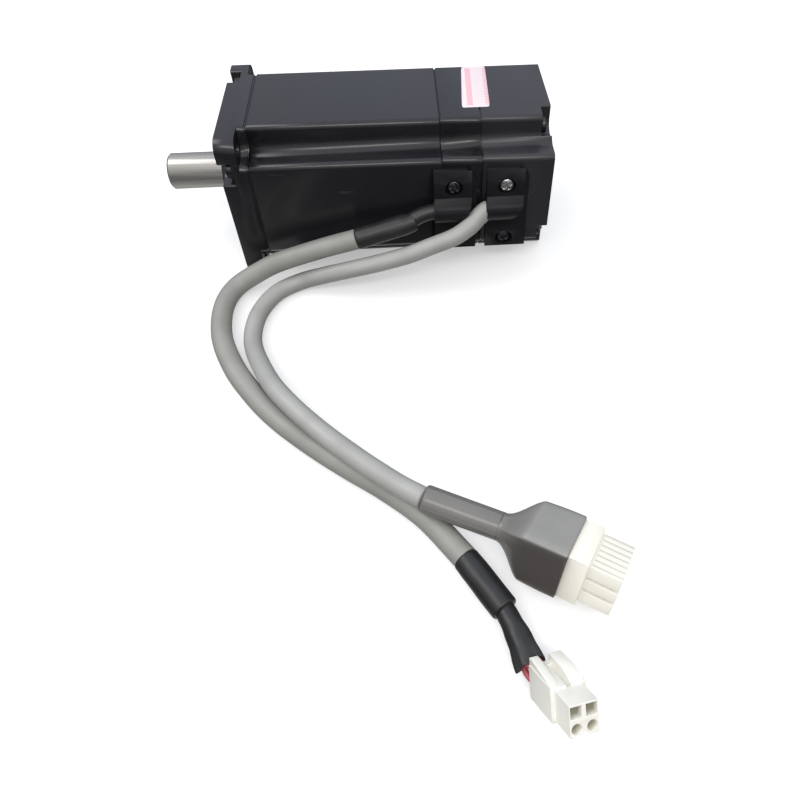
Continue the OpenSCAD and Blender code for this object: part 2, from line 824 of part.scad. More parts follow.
module board_connector() {
    y = connector_in - board_d / 2;
    color([0.9, 0.88, 0.8]) translate([board_x - connector_t, y, passage_z - connector_h / 2])
        cube([connector_t, connector_w, connector_h]);
}

module board_screws() {
    length = m2_l + board_t - m2_d / 2;
    color([0.7, 0.7, 0.7]) for (turn = [90, 210, 330]) rotate([turn, 0, 0])
        translate([board_x + board_t, 0, -post_at]) mirror([1, 0, 0])
            screw(m2_head_d / 2, m2_head_h, m2_d / 2, length, m2_d * socket_share);
}

module encoder_cover_screw_places() {
    four_corners() translate([0, -screw_along, cover_screw_z]) children();
}

module encoder_cover() {
    color([0.19, 0.19, 0.2]) difference() {
        body_block(cover_x, end_x, rear_seam_w / 2, 0);
        translate([cover_x - over, 0, 0]) x_rod(encoder_bore_d / 2, cover_l - end_wall + over);
        four_corners()
            screw_pocket(end_x - cover_pocket_l, end_x + over, -screw_along, cover_screw_in, cover_pocket_w);
        encoder_cover_screw_places() translate([cover_x - over, 0, 0])
            x_rod(m3_d / 2 + 2 * thread_gap, cover_l - cover_pocket_l + 2 * over);
        cable_cover_holes(encoder_plate_x);
        translate([encoder_passage_x, -encoder_bore_d / 2 + 3 * over, passage_z]) y_rod(passage_r, half_w);
    }
}

module encoder_cover_screws() {
    color([0.3, 0.3, 0.32]) encoder_cover_screw_places() translate([end_x - cover_pocket_l, 0, 0])
        mirror([1, 0, 0])
            screw(cover_head_d / 2, cover_head_h, m3_d / 2, cover_screw_l, m3_d * socket_share);
}

// Tapped holes for a cable cover's two screws, the lower one short of the encoder cover's screw
module cable_cover_holes(plate_x) {
    for (hole = [[upper_screw_z, m3_l], [lower_screw_z, short_m3_l]])
        translate([plate_x + cover_screw_x, side_y + hole[1], hole[0]])
            y_rod(m3_d / 2 + thread_gap, hole[1] + over);
}

// Hood section seen along the shaft: a bevel, a flat, then a slope that meets the cable duct's round
module hood_section() {
    flat_y = side_y - hood_t;
    touch_r = duct_r - 2 * thread_gap;
    flat_end = duct_z + (duct_r + (flat_y - duct_y) * cos(duct_lean)) / sin(duct_lean);
    polygon([
        [side_y - plate_t, plate_top],
        [flat_y + hood_break / 2, plate_top - hood_bevel],
        [flat_y, plate_top - hood_bevel - hood_break],
        [flat_y, flat_end],
        [duct_y - touch_r * cos(duct_lean), duct_z + touch_r * sin(duct_lean)],
        [duct_y, duct_z - duct_r],
        [side_y - plate_t, duct_z - duct_r]
    ]);
    translate([duct_y, duct_z]) circle(duct_r);
}

// Section of the plate's thicker foot, sloped above
module foot_section() {
    bottom = plate_top - plate_h;
    polygon([
        [side_y, bottom], [side_y - foot_t, bottom], [side_y - foot_t, bottom + foot_h],
        [side_y - plate_t, bottom + foot_h + foot_slope], [side_y, bottom + foot_h + foot_slope]
    ]);
}

// Hood outline seen from the side, with one large round corner
module hood_face() {
    bottom = plate_top - hood_h;
    r = hood_corner_r;
    difference() {
        translate([0, bottom]) square([hood_w, plate_top - bottom]);
        translate([hood_w - r, bottom]) difference() {
            square(r);
            translate([0, r]) circle(r);
        }
    }
}

module plate_face() {
    c = plate_chamfer;
    polygon([
        [0, plate_top - plate_h], [plate_w, plate_top - plate_h], [plate_w, plate_top - c],
        [plate_w - c, plate_top], [0, plate_top]
    ]);
}

module cable_cover(plate_x) {
    deep = hood_t + duct_r + over;
    difference() {
        union() {
            translate([plate_x, side_y, 0]) rotate([90, 0, 0]) linear_extrude(plate_t) plate_face();
            translate([plate_x, 0, 0]) along_x(plate_w) foot_section();
            intersection() {
                translate([plate_x, 0, 0]) along_x(hood_w) hood_section();
                translate([plate_x, side_y, 0]) rotate([90, 0, 0]) linear_extrude(deep + over) hood_face();
            }
        }
        translate([plate_x - over, duct_y, duct_z]) x_rod(gland_r, gland_l + over);
        translate([plate_x, duct_y, duct_z]) x_rod(bore_r, plate_w * bore_share);
        translate([plate_x + passage_in, side_y + over, passage_z]) y_rod(passage_r, hood_t + over);
        for (place = [[upper_screw_z, hood_t], [lower_screw_z, foot_t]])
            translate([plate_x + cover_screw_x, side_y, place[0]]) {
                translate([0, over, 0]) y_rod(m3_d / 2 + 2 * thread_gap, deep + 2 * over);
                translate([0, counterbore_d - place[1], 0]) y_rod(counterbore_r, deep);
            }
    }
}

module power_cable_cover() {
    color([0.13, 0.13, 0.14]) cable_cover(power_plate_x);
}

module encoder_cable_cover() {
    color([0.13, 0.13, 0.14]) cable_cover(encoder_plate_x);
}

module cable_cover_screws() {
    color([0.2, 0.2, 0.21]) for (plate_x = [power_plate_x, encoder_plate_x])
        for (place = [
            [upper_screw_z, hood_t - counterbore_d, m3_l], [lower_screw_z, foot_t - counterbore_d, short_m3_l]
        ])
            translate([plate_x + cover_screw_x, side_y - place[1], place[0]]) rotate([0, 0, 90]) screw(
                m3_head_d / 2, m3_head_h, m3_d / 2, place[1] + place[2] - seat_gap, m3_d * socket_share
            );
}

module grommet(plate_x, cord_d) {
    color([0.08, 0.08, 0.08]) difference() {
        translate([plate_x - gland_out, duct_y, duct_z]) x_rod(gland_r - fit, gland_l + gland_out);
        translate([plate_x - gland_out - over, duct_y, duct_z])
            x_rod(cord_d / 2, gland_l + gland_out + 2 * over);
    }
}

module power_grommet() {
    grommet(power_plate_x, lead_d);
}

module encoder_grommet() {
    grommet(encoder_plate_x, encoder_d);
}

// Four winding leads from the coils, out through the rear bracket and into the lead tube
module power_leads() {
    coil_face = stator_end + insulator_t + 2 * fit + coil_t;
    run_y = -(coil_in_r + coil_out_r) / 2;
    color([0.7, 0.2, 0.15]) for (i = [0:3]) {
        z = passage_z + wire_pitch * (i - 1.5);
        wire([
            [coil_face, run_y, z], [power_passage_x, run_y, z],
            [power_passage_x, duct_y, z], [power_plate_x + lead_in, duct_y, z]
        ], wire_r);
    }
}

module encoder_leads() {
    wire_x = board_x - connector_t / 2;
    color([0.85, 0.75, 0.2]) for (i = [0:4]) {
        z = passage_z + signal_pitch * (i - 2);
        wire([
            [wire_x, connector_in - board_d / 2, z], [wire_x, duct_y, z],
            [encoder_plate_x + signal_lead_in, duct_y, z]
        ], signal_r);
    }
}

module data_label() {
    color([0.9, 0.9, 0.88]) translate([label_x + label_w / 2, label_y, top_z])
        linear_extrude(label_t) union() {
            square([label_w - 2 * label_r, label_h], center = true);
            square([label_w, label_h - 2 * label_r], center = true);
            for (sx = [-1, 1], sy = [-1, 1])
                translate([sx * (label_w / 2 - label_r), sy * (label_h / 2 - label_r)]) circle(label_r);
        }
}

// Distance from a section's centre to its edge: a circle at power 2, squarer above
function edge_r_at(half, power, a) =
    half / pow(pow(abs(cos(a)), power) + pow(abs(sin(a)), power), 1 / power);

// Tube swept along points, with a half width and a squareness for each point
module lofted_tube(path, halves, powers, sides, roll = 0) {
    n = len(path);
    along = [for (i = [0:n - 1]) unit(path[min(i + 1, n - 1)] - path[max(i - 1, 0)])];
    rings = [for (i = [0:n - 1]) let (
            u = unit(cross(along[i], [0, 0, 1])),
            v = cross(u, along[i])
        ) for (k = [0:sides - 1]) let (
            a = 360 * k / sides,
            r = edge_r_at(halves[i], powers[i], a)
        ) path[i] + r * (u * cos(a + roll) + v * sin(a + roll))];
    walls = [for (i = [0:n - 2], k = [0:sides - 1]) let (
            a = i * sides + k,
            b = i * sides + (k + 1) % sides
        ) each [[a, b, b + sides], [a, b + sides, a + sides]]];
    caps = [
        for (k = [1:sides - 2]) [0, k + 1, k],
        for (k = [1:sides - 2]) [(n - 1) * sides, (n - 1) * sides + k, (n - 1) * sides + k + 1]
    ];
    polyhedron(points = rings, faces = concat(walls, caps));
}

module swept_tube(path, r, sides) {
    lofted_tube(path, [for (p = path) r], [for (p = path) 2], sides);
}

function unit(v) = v / norm(v);

module power_lead_tube() {
    color([0.07, 0.07, 0.07]) swept_tube(lead_path, lead_d / 2, 12);
}

module power_exit_shrink() {
    color([0.09, 0.09, 0.09]) rod(lead_path[len(lead_path) - 1], power_path[0], shrink_d / 2, shrink_d / 2);
}

module power_cable() {
    color([0.7, 0.72, 0.71]) swept_tube(power_path, power_d / 2, 12);
}

module power_end_shrink() {
    color([0.09, 0.09, 0.09]) rod(power_path[len(power_path) - 1], power_end, shrink_d / 2, shrink_d / 2);
}

module power_end_tube() {
    color([0.07, 0.07, 0.07]) lofted_tube(
        [power_end, tube_mid, tube_end], [tube_start_r, tube_mid_r, tube_end_r], [2, 2, 2], 16
    );
}

module in_power_plug() {
    translate(power_plug_at) rotate(power_plug_turn) children();
}

module at_cells() {
    for (sy = [-1, 1], sz = [-1, 1]) translate([0, sy * cell_pitch / 2, sz * cell_pitch / 2]) children();
}

// Rail on top of the plug's block, level for a length and then sloping down to the front
module plug_rail(y, width, level_l) {
    translate([0, y + width, power_plug_h / 2 - over]) rotate([90, 0, 0]) linear_extrude(width) polygon([
        [0, 0], [0, over + latch_rise], [level_l, over + latch_rise], [power_plug_l, over], [power_plug_l, 0]
    ]);
}

module power_plug() {
    w = power_plug_w;
    h = power_plug_h;
    nose_x = power_plug_l;
    tip_x = power_plug_l + nose_l;
    color([0.88, 0.86, 0.78]) in_power_plug() difference() {
        union() {
            translate([0, -w / 2, -h / 2]) cube([power_plug_l, w, h]);
            translate([nose_x - over, -nose_w / 2, -nose_h / 2]) cube([nose_l + over, nose_w, nose_h]);
            plug_rail(latch_y, w / 2 - latch_in - latch_y, latch_flat);
            plug_rail(latch_in - w / 2, rib_w, rib_flat);
        }
        // Slot between the latch and the rib
        translate([slot_x, latch_y - slot_w, h / 2 - slot_d])
            cube([power_plug_l - slot_x, slot_w, slot_d + over]);
        for (sy = [-1, 1]) {
            y = sy * cell_pitch / 2;
            translate([tip_x - cell_depth, y - cell_w / 2, cell_pitch / 2 - cell_w / 2])
                cube([cell_depth + over, cell_w, cell_w]);
            translate([tip_x - cell_depth, y, -cell_pitch / 2]) x_rod(cell_r, cell_depth + over);
        }
        at_cells() translate([-over, 0, 0]) x_rod(contact_r + thread_gap, tip_x);
        translate([nose_x, 0, -nose_h / 2]) rotate([45, 0, 0])
            translate([0, -tower_notch / 2, -tower_notch / 2])
                cube([nose_l + over, tower_notch, tower_notch]);
    }
}

module power_contacts() {
    length = power_plug_l + nose_l - over;
    color([0.8, 0.78, 0.7]) in_power_plug() at_cells()
        translate([over, 0, 0]) x_rod(contact_r, length - over);
}

// Insulated wires from the end tube into the plug's rear
module power_wires() {
    spread_share = 0.6;
    color([0.75, 0.3, 0.3]) for (sy = [-1, 1], sz = [-1, 1]) {
        offset_in = turned([0, sy * cell_pitch / 2, sz * cell_pitch / 2], power_plug_turn);
        rod(tube_mid + offset_in * spread_share, power_plug_at + offset_in, plug_wire_r, plug_wire_r);
    }
}

module encoder_cable() {
    color([0.7, 0.72, 0.71]) swept_tube(encoder_path, encoder_d / 2, 12);
}

module in_encoder_plug() {
    translate(encoder_plug_at) rotate(encoder_plug_turn) children();
}

// Soft boot: a square block, a hollow flare and a round tail over the cable
module plug_boot() {
    steps = 6;
    flare = [for (i = [0:steps]) i / steps];
    lip_x = collar_x - over;
    stations = concat([collar_x, lip_x], [for (t = flare) boot_x - neck_l * t]);
    centres = [for (s = stations)
        encoder_plug_at + turned([s, 0, 0], encoder_plug_turn)
            - [0, 0, boot_sag * max(0, lip_x - s) / (boot_l + neck_l)]
    ];
    halves = concat([boot_w / 2, boot_w / 2], [
        for (t = flare) sleeve_d / 2 + (boot_w - sleeve_d) / 2 * pow(1 - t, neck_curve)
    ]);
    powers = concat([boot_power, boot_power], [for (t = flare) 2 + (boot_power - 2) * (1 - t)]);
    tail = (centres[steps + 2] + sleeve_end) / 2;
    color([0.53, 0.54, 0.53]) lofted_tube(
        concat(centres, [tail, sleeve_end]), concat(halves, [sleeve_d / 2, sleeve_d / 2]),
        concat(powers, [2, 2]), 24, encoder_plug_turn[0]
    );
}

module encoder_plug() {
    w = encoder_plug_w;
    color([0.9, 0.88, 0.8]) in_encoder_plug() difference() {
        union() {
            translate([collar_x, -collar_w / 2, -collar_w / 2]) cube([collar_l, collar_w, collar_w]);
            translate([collar_x + collar_l - over, -w / 2, -w / 2])
                cube([encoder_plug_l - collar_x - collar_l + over, w, w]);
        }
        for (sy = [-1, 1], sz = [-1, 1])
            translate([0, sy * w / 2 - groove_d, sz * w / 6 - groove_w / 2])
                cube([encoder_plug_l + over, 2 * groove_d, groove_w]);
        at_signal_cells() x_rod(signal_cell_r, encoder_plug_l + over);
    }
}

module at_signal_cells() {
    for (iy = [-1:1], iz = [-1:1]) translate([0, iy * cell_pitch, iz * cell_pitch]) children();
}

module encoder_contacts() {
    color([0.8, 0.75, 0.55]) in_encoder_plug() at_signal_cells()
        x_rod(signal_contact_r, encoder_plug_l - over);
}

front_bracket();
bracket_screws();
oil_seal();
motor_shaft();
front_bearing_outer();
front_bearing_inner();
front_cage();
front_balls();
rear_bearing_outer();
rear_bearing_inner();
rear_cage();
rear_balls();
wave_washer();
rotor_core();
rotor_magnets();
magnet_sleeve();
stator_housing();
stator_core();
end_insulators();
stator_coils();
rear_bracket();
rear_bracket_screws();
encoder_hub();
encoder_disc();
encoder_board();
read_head();
board_connector();
board_screws();
encoder_leads();
encoder_cover();
encoder_cover_screws();
power_cable_cover();
encoder_cable_cover();
cable_cover_screws();
power_grommet();
encoder_grommet();
power_leads();
data_label();
power_lead_tube();
power_exit_shrink();
power_cable();
power_end_shrink();
power_end_tube();
power_wires();
power_plug();
power_contacts();
encoder_cable();
plug_boot();
encoder_plug();
encoder_contacts();
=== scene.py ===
# %% [markdown]
# # A small servo motor with two cables
#
# The object is a square black motor that lies on one face. Its metal shell and its
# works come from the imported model. This notebook gives the shell its painted finish and
# its small edge radii, and makes the cables, sleeves and plugs that lie in front of it.
# Lengths are metres, and `mm` turns a workshop size into metres. Reading the frame first
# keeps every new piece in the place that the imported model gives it.

# %% Load the frame
import json
import math

import bmesh
import bpy
import numpy as np
from mathutils import Matrix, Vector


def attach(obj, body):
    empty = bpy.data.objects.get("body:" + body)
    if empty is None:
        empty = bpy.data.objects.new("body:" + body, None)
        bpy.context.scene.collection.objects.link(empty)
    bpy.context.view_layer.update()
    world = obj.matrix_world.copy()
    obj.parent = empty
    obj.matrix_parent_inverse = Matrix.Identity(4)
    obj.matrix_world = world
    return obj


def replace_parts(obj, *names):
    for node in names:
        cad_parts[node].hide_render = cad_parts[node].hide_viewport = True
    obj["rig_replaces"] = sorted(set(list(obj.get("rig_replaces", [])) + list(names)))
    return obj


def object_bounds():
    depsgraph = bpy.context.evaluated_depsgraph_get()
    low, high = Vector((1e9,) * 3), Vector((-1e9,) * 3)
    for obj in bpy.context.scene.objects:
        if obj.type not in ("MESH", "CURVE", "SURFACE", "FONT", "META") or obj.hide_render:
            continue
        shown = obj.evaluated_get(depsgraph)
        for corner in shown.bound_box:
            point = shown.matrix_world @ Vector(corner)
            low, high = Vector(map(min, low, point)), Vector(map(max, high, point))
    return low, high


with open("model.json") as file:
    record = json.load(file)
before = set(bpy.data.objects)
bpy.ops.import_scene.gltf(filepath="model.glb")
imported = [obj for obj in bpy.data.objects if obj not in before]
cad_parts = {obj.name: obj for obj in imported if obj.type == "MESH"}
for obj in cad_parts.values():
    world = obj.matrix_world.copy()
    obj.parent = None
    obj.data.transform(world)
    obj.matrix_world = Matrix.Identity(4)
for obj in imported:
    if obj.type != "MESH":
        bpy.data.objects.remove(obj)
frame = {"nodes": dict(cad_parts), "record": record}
cad_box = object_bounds()
mm = 0.001
print("model size in mm:", [round((b - a) / mm, 1) for a, b in zip(*cad_box)])

# %% [markdown]
# ## Camera
#
# A picture can be matched only from the place where it was taken. The place, the turn and
# the lens were found by fitting the motor's straight edges. The small shift moves the frame
# sideways and up without turning the camera, as a cropped photograph does. Aiming a camera
# at a target by a constraint is quicker, but it can't hold the small roll of a hand-held one.

# %% Camera
camera_at = np.array([67.547, -248.963, 167.516]) * mm
focal_share = 0.87566
sensor_w = 36.0
shift_right, shift_up = -0.0731, -0.0525
near_clip = 0.01
camera_yaw, camera_pitch, camera_roll = (math.radians(v) for v in (-4.9538, 40.2885, 0.397))


def add_camera():
    """Looks straight down, rolls about its view, pitches up about X, then yaws about Z."""
    data = bpy.data.cameras.new("camera")
    data.sensor_width = sensor_w
    data.lens = focal_share * sensor_w
    data.shift_x, data.shift_y = shift_right, shift_up
    data.clip_start = near_clip
    camera = bpy.data.objects.new("camera", data)
    bpy.context.scene.collection.objects.link(camera)
    turn = Matrix.Rotation(camera_yaw, 4, "Z") @ Matrix.Rotation(camera_pitch, 4, "X")
    turn = turn @ Matrix.Rotation(camera_roll, 4, "Z")
    camera.matrix_world = Matrix.Translation(camera_at.tolist()) @ turn
    bpy.context.scene.camera = camera
    return camera


camera = add_camera()
print("camera height in mm:", round(camera_at[2] / mm, 1), "lens in mm:", round(camera.data.lens, 2))

# %% [markdown]
# ## Surfaces from grids
#
# Every new piece is a grid of points: one direction runs round the piece and the other
# along it. Whole arrays are worked out at once, and `skin` turns them into quads. Curves with
# a bevel or sculpted meshes could make these shapes too, but a grid keeps its formula in
# view, and changing one number changes the piece.

# %% Grid to mesh
pieces = {}


def add_piece(name, points, faces, body="housing"):
    """A mesh object at the origin, smooth shaded, that rides on a body."""
    mesh = bpy.data.meshes.new(name)
    mesh.from_pydata(np.asarray(points).reshape(-1, 3).tolist(), [], [list(f) for f in faces])
    mesh.validate()
    mesh.shade_smooth()
    piece = bpy.data.objects.new(name, mesh)
    bpy.context.scene.collection.objects.link(piece)
    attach(piece, body)
    pieces[name] = piece
    return piece


def grid_faces(rows, columns, wrap=True, first=0):
    """Quads between neighbours of a grid; wrap joins the last column to the first."""
    i, j = np.meshgrid(np.arange(rows - 1), np.arange(columns if wrap else columns - 1), indexing="ij")
    k = (j + 1) % columns
    quads = np.stack([i * columns + j, i * columns + k, (i + 1) * columns + k, (i + 1) * columns + j], -1)
    return (quads.reshape(-1, 4) + first).tolist()


def closed(grid, first=0):
    """Points and faces of a skin over rings of points, both ends drawn in to a point."""
    rows, columns = grid.shape[:2]
    points = np.concatenate([grid.reshape(-1, 3), grid[:1].mean(1), grid[-1:].mean(1)])
    ring = np.arange(columns) + first
    after = np.roll(ring, -1)
    last = (rows - 1) * columns
    tips = np.full(columns, rows * columns + first)
    near_cap = np.stack([tips, after, ring], 1).tolist()
    far_cap = np.stack([tips + 1, last + ring, last + after], 1).tolist()
    return points, grid_faces(rows, columns, first=first) + near_cap + far_cap


def skin(name, *grids, body="housing"):
    """One mesh of closed skins, each given as rings of points."""
    points, faces = [], []
    for grid in grids:
        more, quads = closed(np.asarray(grid), sum(map(len, points)))
        points.append(more)
        faces += quads
    return add_piece(name, np.concatenate(points), faces, body)


def tell(*names):
    """Prints how many faces each piece has and how far it reaches along X, Y and Z."""
    for name in names:
        mesh = pieces[name].data
        spots = np.empty(len(mesh.vertices) * 3, np.float32)
        mesh.vertices.foreach_get("co", spots)
        reach = np.ptp(spots.reshape(-1, 3), axis=0) / mm
        print(name, "faces:", len(mesh.polygons), "size in mm:", reach.round(1).tolist())


print("quads between 3 rings of 4 points:", len(grid_faces(3, 4)))

# %% [markdown]
# ## Cable routes
#
# A cable is stiff, so its route is one smooth line through a few chosen points. A
# Catmull-Rom curve passes through every point and leaves each one in the direction of its
# neighbours, which is close to how a bent cable lies. The route is then walked in equal steps.
# A simulated rope would find its own way, but here the photograph already shows the way.

# %% Route helpers
lead_route = np.array([
    (80.2, -34.3, 0.3), (76, -34.3, 0.3), (72.2, -34.7, -0.5), (68, -35.5, -2.2)
]) * mm
power_route = np.array([
    (46.5, -38, -8.1), (36, -38, -10.9), (24.5, -38, -14.4), (13.5, -38, -18.4),
    (5.5, -38.8, -22.4), (-2, -41.7, -25.6), (-5.6, -48.9, -26.1), (-6.3, -58, -26.1),
    (-4.5, -69.8, -26.1), (0.9, -82.8, -26.1), (7.7, -93.8, -26.1), (16.9, -105.5, -26.1),
    (28.7, -116.7, -26.1), (41.9, -127.5, -26.1), (55.1, -137.4, -26.1),
    (66.9, -148, -26.1), (77.5, -161.9, -26.1)
]) * mm
encoder_route = np.array([
    (98.5, -34.3, 0.3), (96.4, -34.5, -0.1), (93.4, -36.2, -1.6), (89.6, -39.3, -3.7),
    (83.6, -41.6, -6.5), (75, -42.4, -9.7), (65.5, -43.2, -13), (55, -43.7, -15.6), (43.5, -43.8, -18.2),
    (32, -42.1, -22.2), (22, -41, -26), (12.8, -46.6, -26.6), (7.2, -58, -26.6),
    (6.7, -71.5, -26.4), (12.3, -87.2, -23), (19.7, -101.3, -19.3), (31.1, -115.2, -18.5),
    (44.3, -128.1, -18.5), (57.5, -139.3, -18.5), (66.5, -146, -17.8)
]) * mm
step = 0.8 * mm


def smooth(route, spacing=step):
    """Catmull-Rom: each span is a cubic whose end slopes are half the neighbours' difference."""
    ends = [2 * route[0] - route[1]], [2 * route[-1] - route[-2]]
    p = np.concatenate([ends[0], route, ends[1]])
    t = np.linspace(0, 1, 40, endpoint=False)[None, :, None]
    a, b, c, d = (p[k:len(p) - 3 + k, None, :] for k in range(4))
    spans = 0.5 * (2 * b + (c - a) * t + (2 * a - 5 * b + 4 * c - d) * t**2 + (3 * b - a - 3 * c + d) * t**3)
    line = np.concatenate([spans.reshape(-1, 3), route[-1:]])
    return even(line, spacing)


def even(line, spacing):
    """The same line walked in equal steps."""
    run = arc_length(line)
    count = max(2, int(round(run[-1] / spacing)) + 1)
    at = np.linspace(0, run[-1], count)
    return np.stack([np.interp(at, run, line[:, k]) for k in range(3)], 1)


def arc_length(line):
    """Distance walked from the first point to each point."""
    return np.concatenate([[0], np.cumsum(np.linalg.norm(np.diff(line, axis=0), axis=1))])


def unit(v):
    """The same direction with length one."""
    return v / np.linalg.norm(v, axis=-1, keepdims=True)


def across(line):
    """Two directions square to the line: one level, one upward."""
    along = unit(np.gradient(line, axis=0))
    side = unit(np.cross(along, [0.0, 0.0, 1.0]))
    return side, np.cross(side, along)


def tube(line, radius, sides=32):
    """Rings round the line: centre + radius(s, a) * (cos a * side + sin a * up)."""
    a = np.linspace(0, 2 * np.pi, sides, endpoint=False)
    side, up = across(line)
    spoke = np.cos(a)[None, :, None] * side[:, None] + np.sin(a)[None, :, None] * up[:, None]
    reach = radius if np.ndim(radius) == 2 else np.broadcast_to(radius, (len(line),))[:, None]
    return line[:, None] + reach[..., None] * spoke


def rounded_ends(radius, run, r):
    """Shortens the radius over the last stretch r at both ends, as a quarter circle."""
    near = np.clip(np.minimum(run, run[-1] - run) / r, 0, 1)
    return radius - r * (1 - np.sqrt(1 - (1 - near) ** 2))


lead_line = smooth(lead_route)
power_line = smooth(power_route)
encoder_line = smooth(encoder_route)
for title, line in (("power", power_line), ("encoder", encoder_line)):
    print(title, "cable length in mm:", round(arc_length(line)[-1] / mm, 1))

# %% [markdown]
# ## Gray cables
#
# Both jackets are plain gray vinyl. The radius wanders by a few hundredths of a
# millimetre, as an extruded jacket over twisted cores does. A curve with a round bevel is
# the usual way to a cable, but its radius can't follow the cores or flatten at a bend.

# %% Gray cables
power_d, encoder_d, lead_d, shrink_d = 7.8 * mm, 6.8 * mm, 6.0 * mm, 8.2 * mm


def wander(run, a, size, pitch):
    """A slow twisted waviness of the jacket: size * sin(run / pitch + 2a) and a finer one."""
    return size * (np.sin(run[:, None] / pitch + 2 * a) + 0.5 * np.sin(run[:, None] * 2.7 / pitch - 3 * a))


def cable(name, line, diameter, sides=36, flat=0.0):
    """A jacket whose radius wanders along its twisted cores; flat widens its first bend."""
    a = np.linspace(0, 2 * np.pi, sides, endpoint=False)
    run = arc_length(line)
    reach = diameter / 2 - 0.04 * mm + wander(run, a, 0.025 * mm, 7 * mm)
    pinch = flat * np.exp(-(((run - 5 * mm) / (6 * mm)) ** 2))[:, None]
    return skin(name, tube(line, reach * (1 + pinch * np.sin(a) ** 2), sides))


power_cable = cable("power_cable_jacket", power_line, power_d)
encoder_cable = cable("encoder_cable_jacket", encoder_line, encoder_d, flat=0.12)
lead_tube = cable("power_lead_sleeve", lead_line, lead_d)
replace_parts(power_cable, "power_cable")
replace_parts(encoder_cable, "encoder_cable")
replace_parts(lead_tube, "power_lead_tube")
tell("power_cable_jacket", "encoder_cable_jacket", "power_lead_sleeve")

# %% [markdown]
# ## Shrunk sleeves
#
# A heat-shrink sleeve hugs what is under it, with soft rings where it gathered and a
# sharp cut edge at each end. Its radius follows the step from the cable to the thinner tube.
# Cloth shrunk on to a cable would gather by itself, but slowly. Two sine waves round the
# sleeve and along it look the same from a hand's length away.

# %% Shrunk sleeves
sleeve_step = 0.5 * mm
exit_lap = 1.5 * mm * np.array([0.95, -0.2, -0.26])
exit_line = even(np.array([lead_route[-1] + exit_lap, power_route[0]]), sleeve_step)
sleeve_tip = np.array([87.2, -177.9, -25.8]) * mm
end_line = even(np.array([power_route[-1], sleeve_tip]), sleeve_step)
cut_radius = 0.25 * mm


def sleeve(name, line, thin, thick, neck, sides=40, gather=0.12 * mm):
    """A sleeve that swells from thin to thick within the neck, with gathered rings there."""
    a = np.linspace(0, 2 * np.pi, sides, endpoint=False)
    run = arc_length(line)
    grow = np.clip(run / neck, 0, 1)
    grow = grow * grow * (3 - 2 * grow)
    base = thin + (thick - thin) * grow
    wave = np.sin(run[:, None] / (0.9 * mm) + 1.5 * np.sin(a) + np.cos(2 * a))
    rings = gather * (1 - grow)[:, None] * wave
    lumps = wander(run, a, 0.05 * mm, 5 * mm)
    reach = rounded_ends(base, run, cut_radius)[:, None] + rings + lumps
    return skin(name, tube(line, reach, sides))


exit_shrink = sleeve("power_exit_sleeve", exit_line, lead_d / 2 + 0.35 * mm, shrink_d / 2, 6 * mm)
end_shrink = sleeve(
    "power_end_sleeve", end_line, shrink_d / 2 - 0.1 * mm, shrink_d / 2, 4 * mm, gather=0.04 * mm
)
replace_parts(exit_shrink, "power_exit_shrink")
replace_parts(end_shrink, "power_end_shrink")
tell("power_exit_sleeve", "power_end_sleeve")

# %% [markdown]
# ## Frayed end tube
#
# The last black tube is pushed over the wires. It opens like a bell towards the plug, and
# its cut edge is ragged. Displacing a plain cone with a texture would fray it evenly all
# round. Sine waves of a few turns each give the few broad folds that thin tubing has.

# %% End tube
tube_middle = np.array([89.9, -185.6, -25.6]) * mm
tube_mouth = np.array([92.1, -193.3, -25.3]) * mm
tube_root = np.array([86.9, -177.4, -25.8]) * mm
tube_line = even(smooth(np.array([tube_root, tube_middle, tube_mouth])), 0.3 * mm)
wall_share, wall_depth = 0.86, 2.5 * mm


def bell(name, line, start, end, sides=48):
    """Radius grows from start to end; the section flattens, folds lengthwise and its edge waves."""
    a = np.linspace(0, 2 * np.pi, sides, endpoint=False)
    run = arc_length(line)
    share = (run / run[-1])[:, None]
    flat = 1 - 0.12 * share * np.sin(a) ** 2
    folds = share**2 * (0.24 * np.sin(3 * a + 1) + 0.2 * np.sin(5 * a + 2) + 0.1 * np.sin(9 * a)) * mm
    crumple = 0.08 * mm * np.sin(run[:, None] / (1.1 * mm) + 2 * np.sin(a) + np.cos(3 * a))
    rings = tube(line, (start + (end - start) * share**1.2) * flat + folds + crumple, sides)
    torn = (0.9 * np.sin(2 * a + 0.6) + 0.35 * np.sin(6 * a)) * 0.8 * mm
    ahead = unit(line[-1] - line[-4])
    rings += (share**6)[..., None] * torn[None, :, None] * ahead
    within = line[-1] + (rings[-1] - line[-1]) * wall_share
    return skin(name, np.concatenate([rings, within[None], (within - ahead * wall_depth)[None]]))


end_tube = bell("power_end_bell", tube_line, 2.9 * mm, 4.3 * mm)
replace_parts(end_tube, "power_end_tube")
tell("power_end_bell")

# %% [markdown]
# ## Square boot
#
# The encoder plug sits in a soft gray boot. It is square where it grips the plug and round
# on the cable. A superellipse gives both with one formula: |x|^p + |y|^p = 1 is a circle
# at p = 2 and nearly a square at p = 10. A bridged loop between a square and a circle is the
# usual way, and a subdivided one looks soft enough, but its edges fade all at one rate.
# An attribute on the mesh marks the upper face. Its colour is a painted highlight, paler than the other
# faces, which carry painted shade.

# %% Boot
encoder_plug_at = np.array([111.9, -170.7, -18.4]) * mm
plug_roll, plug_yaw = math.radians(-18.4), math.radians(-32.3)
boot_w, sleeve_d = 18.4 * mm, 8.6 * mm
collar_back = -6.2 * mm
boot_full = 11.8 * mm
boot_neck = 10 * mm
boot_sag = 1.6 * mm
# Share of the painted highlight colour in the tail's even colour, the same all round.
tail_even_share = 0.5
tail_end = encoder_route[-1]


